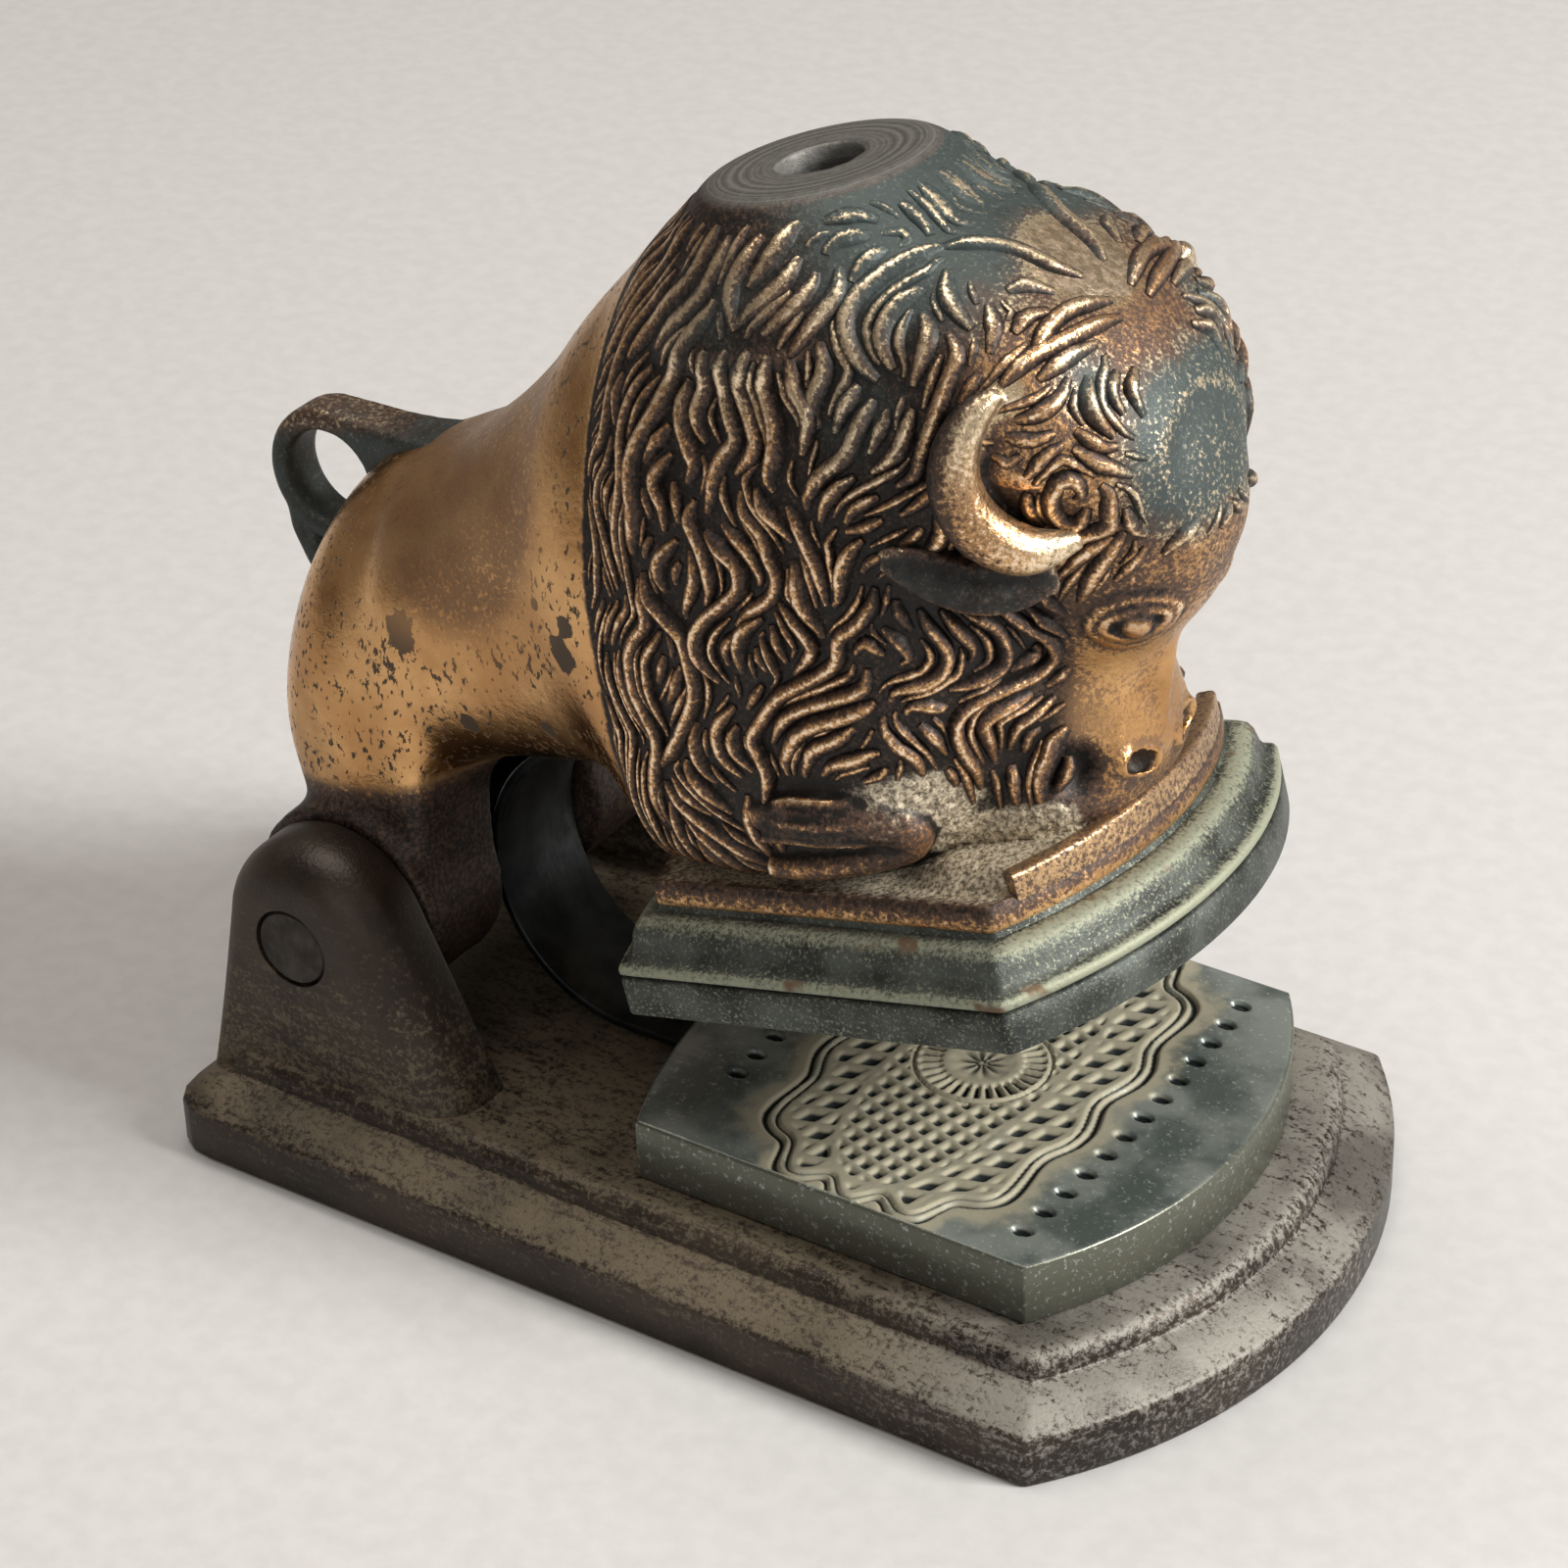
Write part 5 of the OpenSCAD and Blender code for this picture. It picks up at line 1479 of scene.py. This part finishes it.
# painted shade: hair in the lee of the ear and on the cheek is darkened, and the last entry darkens the skin
# round the eye
shade = [
    ((80, -14, 27), 8, 0.4), ((74, -19, 33), 7, 0.35), ((78, -18, 44), 5, 0.3),
    ((86.5, -6.8, 26.7), 5.5, 0.35)]
padPaint = dict(radius=10.6, edge=0.8, low=62)


def bisonPaint(obj, places, relief, handled, dusty, tint):
    x, y, z = places.T
    right = rightHand(places)
    film = tint
    for centre, radius, strength in patina:
        film = np.maximum(film, strength * falloff(right, centre, radius))
    band = np.clip(goldBand["filmEdge"] * falloff(right, goldBand["place"], goldBand["reach"]), 0, 1)
    film = film + (goldBand["film"] - film) * band
    # painted shade from the list above lowers the relief
    for centre, radius, strength in shade:
        relief = relief - strength * falloff(right, centre, radius)
    pad = np.clip((padPaint["radius"] - np.hypot(x - bison["padX"], y)) / padPaint["edge"], 0, 1)
    pad = pad * (z > padPaint["low"])
    paints = dict(relief=relief, handled=handled, verdigris=film * (1 - pad), filed=pad, dusty=dusty)
    for name, value in paints.items():
        setPaint(obj, name, np.clip(value, 0, 1))


# Dust on the ground under the head: pairs are the values with none of it and with all
groundDust = dict(z=(12.5, 10.5), rear=(65, 68), front=(79, 77), knee=(68, -17.5, 14), kneeReach=10,
                  kneeShare=1.3, kneeZ=(19, 16), legSteps=3, legReach=3.2, legEdge=3, legClear=0.8,
                  grain=0.35, grainSize=1.6)


def dustOnGround(right, hollow):
    d, x, z = groundDust, right[:, 0], right[:, 2]
    dusty = fade(z, *d["z"]) * fade(x, *d["rear"]) * fade(x, *d["front"]) * (1 - hollow)
    knee = d["kneeShare"] * falloff(right, d["knee"], d["kneeReach"]) * fade(z, *d["kneeZ"])
    leg = nearLine(right, smoothLine(foreleg["path"], d["legSteps"]), d["legReach"])
    return np.maximum(dusty, knee) * (1 - d["legClear"] * np.clip(leg * d["legEdge"], 0, 1))


# How bright the bison is worn, with painted shade on it: its hind leg is darkened down at the pin, as painted
# shade over its dark patina, and its upper back is darkened to a browner tone as a painted dark reflection
bisonWear = dict(
    bareOver=1.2, bare=0.92, bareDark=0.7, legZ=(14, 10), legX=(20, 15),
    backPlace=(24, -8, 40), backReach=26, backShade=0.47, headX=(78, 82), head=0.42,
    muzzle=(84, 18), muzzleReach=8, muzzleEdge=1.6, muzzleRear=77, muzzleBright=0.4, muzzleHandled=0.5,
    # holes and hollow: how far the nostril and the mouth's hollow are darkened, as painted shade
    least=0.06, rise=0.22, holes=1.2, hollow=0.9,
    # the horn is painted lighter on its front, which faces the key lamp, and darker behind, as painted light
    # and shade
    hornSteps=4, hornReach=2.9, hornEdge=2.4, hornMid=0.44, hornTurn=0.75, hornEnds=(0.05, 0.82),
    hornTint=0.42, earReach=2.7, earEdge=4, earLeast=0.04, earRise=0.5, earTint=0.4)


def paintBison(obj, places, right, normals, rise, holes, hollow, dusty):
    w, x, z = bisonWear, right[:, 0], right[:, 2]
    smoothBody = np.clip((edgeOfMane(z) - x) / w["bareOver"], 0, 1)
    legShade = fade(z, *w["legZ"]) * fade(x, *w["legX"])
    backShade = np.minimum(falloff(right, w["backPlace"], w["backReach"]), w["backShade"])
    # painted shade on the hind leg and a painted dark reflection on the upper back dull the smooth metal
    dark = np.maximum(legShade, backShade)
    far = np.hypot(x - w["muzzle"][0], z - w["muzzle"][1])
    muzzle = np.clip(w["muzzleEdge"] - far / w["muzzleReach"], 0, 1) * (x > w["muzzleRear"])
    # relief follows how far the skin stands out, so hollows go dark: dark patina and painted shade
    relief = w["least"] + w["head"] * fade(x, *w["headX"]) + rise / w["rise"] + w["muzzleBright"] * muzzle
    hornLine, earLine = (smoothLine(form["path"], w["hornSteps"]) for form in (horn, earLeaf))
    hornShare = np.clip(w["hornEdge"] * nearLine(right, hornLine, w["hornReach"]), 0, 1)
    # painted light and shade on the horn: lighter where it faces forward, darker where it faces back
    hornLight = np.clip(w["hornMid"] + w["hornTurn"] * normals[:, 0], *w["hornEnds"])
    relief = relief + (hornLight - relief) * hornShare
    earShare = np.clip(w["earEdge"] * nearLine(right, earLine, w["earReach"]), 0, 1) * (1 - hornShare)
    relief = relief + (w["earLeast"] + rise / w["earRise"] - relief) * earShare
    band = np.clip(goldBand["reliefEdge"] * falloff(right, goldBand["place"], goldBand["reach"]), 0, 1)
    relief = np.maximum(relief, goldBand["relief"] * band)
    relief = np.where(smoothBody > 0.5, w["bare"] - w["bareDark"] * dark, relief)
    # painted shade in the nostril and the mouth's hollow
    relief = relief - w["holes"] * holes - w["hollow"] * hollow
    handled = np.maximum(smoothBody * (1 - dark), w["muzzleHandled"] * muzzle) * (1 - hollow)
    bisonPaint(obj, places, relief, handled, dusty, w["earTint"] * earShare + w["hornTint"] * hornShare)


def makeBison():
    form = makeUnderForm()
    skin = BVHTree.FromObject(form, bpy.context.evaluated_depsgraph_get())
    lines = hairLines(skin)
    dice = random.Random(ridge["seed"])
    ridges = [hairRidge(line, share, wide, skin, dice) for line, share, wide in lines]
    oneSide = joined(faceParts(skin))
    underPart = ([v.co.copy() for v in form.data.vertices], [tuple(p.vertices) for p in form.data.polygons])
    obj = looseObject("bison", joined([underPart, oneSide, mirroredPart(oneSide)]))
    voxelSkin(obj, bison["fine"], bison["fineSmooth"], bison["fineEase"])
    places = vertexPlaces(obj)
    normals = np.empty(len(places) * 3, np.float32)
    obj.data.vertices.foreach_get("normal", normals)
    normals = normals.reshape(-1, 3)
    rise = localRise(obj, places, normals, bison["riseRounds"])
    right = rightHand(places)
    # nostril and mouth are pressed in, and the ground is grainy
    holes = falloff(right, onSkin(skin, nostril["pixel"]), nostril["wide"])
    hollow = falloff(right, onSkin(skin, mouth["pixel"]), mouth["wide"])
    dusty = dustOnGround(right, hollow)
    bumps = np.array([noise.noise(Vector(p) * groundDust["grainSize"]) for p in places])
    press = nostril["deep"] * holes + mouth["deep"] * hollow - groundDust["grain"] * dusty * bumps
    places = places - normals * press[:, None]
    obj.data.vertices.foreach_set("co", places.astype(np.float32).ravel())
    paintBison(obj, places, right, normals, rise, holes, hollow, dusty)
    bpy.data.objects.remove(form)
    finishPiece(obj, fromLever, "lever", copper, 180)
    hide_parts("bison_casting")
    print("bison skin:", len(obj.data.polygons), "faces")
    makeMane(ridges)


def makeMane(ridges):
    part = joined([lock for lock, shine in ridges])
    mane = looseObject("mane", joined([part, mirroredPart(part)]))
    bright = np.array([value for lock, shine in ridges for value in shine] * 2)
    places = vertexPlaces(mane)
    none = np.zeros(len(places))
    bisonPaint(mane, places, bright, none, none, none)
    finishPiece(mane, fromLever, "lever", copper, 60)
    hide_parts("bison_casting")
    print("mane:", len(ridges), "locks a side,", len(mane.data.polygons), "faces")


# Plinth under the bison, the kerb along its front edge and the earth between them
# foot and rim: more inset, and height from the slab's bottom or top
plinth = dict(inset=4.2, low=4.05, high=6.3, foot=[(0, 0), (-0.05, 0.3)], rim=[(0, -0.4), (0.35, 0), (3, 0)],
              paints=dict(relief=[0.85, 0.75, 0.3, 0.4, 0.3], handled=[0.3, 0.2, 0, 0, 0],
                          dusty=[0, 0, 0.1, 0.35, 0.9]), perSide=30)
kerb = dict(high=8.35, wide=1.8, inset=5.1, half=17.6, rear=60, edge=0.45, perBow=40,
            paints=dict(relief=0.66, handled=0.2, verdigris=0.26))
ground = dict(inset=5.8, rear=62.0, foot=5.6, low=6.2, rise=1.95, ramp=7.0, side=2.6, rows=34, grain=0.3,
              grainSize=1.7, grainEdge=3, perBow=110)


def makePlinth():
    p = plinth
    rows = [(p["inset"] + more, p["low"] + up) for more, up in p["foot"]]
    rows += [(p["inset"] + more, p["high"] + up) for more, up in p["rim"]]
    slab = looseObject("plinth", mouldedBlock(plateShape, rows, perSide=p["perSide"]))
    for name, values in p["paints"].items():
        setPaint(slab, name, ringPaint(plateShape, values, perSide=p["perSide"]))
    finishPiece(slab, fromLever, "lever", copper, 40)


def makeKerb():
    k = kerb
    rim = bowedOutline(plateShape, k["inset"], perBow=k["perBow"])
    front = [(x, y) for x, y in rim if x > k["rear"] and abs(y) < k["half"]]
    front.sort(key=lambda q: q[1])
    middle = (plinth["low"] + k["high"]) / 2
    run = [(x, y, middle) for x, y in front]
    section = barSection(k["wide"], k["high"] - plinth["low"], k["edge"])
    bar = looseObject("kerb", sweep(run, [(0, 0, 1)] * len(run), [section] * len(run)))
    for name, value in k["paints"].items():
        setPaint(bar, name, np.full(len(bar.data.vertices), value))
    finishPiece(bar, fromLever, "lever", copper, 40)


def makeGround():
    # grainy earth that rises from the plinth to the kerb
    g = ground
    rim = bowedOutline(plateShape, g["inset"], perBow=g["perBow"])
    edge = sorted((q for q in rim if q[0] > g["rear"] + 1), key=lambda q: q[1])
    half = max(y for x, y in edge)
    rings = []
    for front, y in edge:
        ring = []
        for k in range(g["rows"] + 1):
            x = g["rear"] + (front - g["rear"]) * k / g["rows"]
            share = min((x - g["rear"]) / g["ramp"], 1) * min((half - abs(y)) / g["side"], 1)
            bump = g["grain"] * noise.noise(Vector((x, y, 0)) * g["grainSize"])
            height = g["low"] + g["rise"] * share * share * (3 - 2 * share)
            ring.append((x, y, height + bump * min(share * g["grainEdge"], 1)))
        rings.append(ring + [(front, y, g["foot"]), (g["rear"], y, g["foot"])])
    obj = looseObject("ground", loft(rings))
    setPaint(obj, "dusty", np.full(len(obj.data.vertices), 1.0))
    finishPiece(obj, fromLever, "lever", copper, 60)


# Tail: a strap from the rump, right round a ring, and back along the spine as a web
tail = dict(centre=(-2.6, 36.4), radius=5.9, turn=(206, -172, -9), wide=5.2, thick=2.3,
            root=[(-5.6, 24), (-7.3, 28.2), (-8.2, 31.4)], rootThick=[3.0, 2.7, 2.3],
            web=[(-1.6, 42.2), (1.6, 41.3), (4.8, 39.6), (8.6, 38.6), (14, 38.8)],
            webThick=[2.3, 2.6, 4.2, 4.4, 2.6], webWide=[1, 1, 1.05, 1.2, 1.4],
            edge=1.05, edgeShare=0.46, edgeSteps=4, voxel=0.4, smooth=5,
            topZ=(40.3, 41.7), relief=(0.12, 0.38), film=(0.72, -0.3))


def flatStrap(points, wides, thicks):
    run = [Vector((x, 0, z)) for x, z in points]
    sections = []
    for wide, thick in zip(wides, thicks):
        edge = min(tail["edge"], thick * tail["edgeShare"])
        sections.append(barSection(wide, thick, edge, tail["edgeSteps"]))
    return sweep(run, crossUps(run), sections)


def makeTail():
    t = tail
    (x, z), radius, wide = t["centre"], t["radius"], t["wide"]
    turns = [math.radians(a) for a in range(*t["turn"])]
    points = t["root"] + [(x + radius * math.cos(a), z + radius * math.sin(a)) for a in turns]
    loop = flatStrap(points, [wide] * len(points), t["rootThick"] + [t["thick"]] * len(turns))
    web = flatStrap(t["web"], [wide * share for share in t["webWide"]], t["webThick"])
    obj = looseObject("tail", joined([loop, web]))
    voxelSkin(obj, t["voxel"], t["smooth"])
    top = fade(vertexPlaces(obj)[:, 2], *t["topZ"])
    setPaint(obj, "relief", t["relief"][0] + t["relief"][1] * top)
    setPaint(obj, "verdigris", t["film"][0] + t["film"][1] * top)
    finishPiece(obj, fromLever, "lever", copper, 180)
    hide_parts("tail_loop")


makeBison()
makePlinth()
makeKerb()
makeGround()
makeTail()
print("bison, plinth and tail made")

for name in ("die_dowels", "plate_screws", "plate_dowels"):
    mesh = frame["nodes"][name].data
    mesh.materials.clear()
    mesh.materials.append(screwFinish)
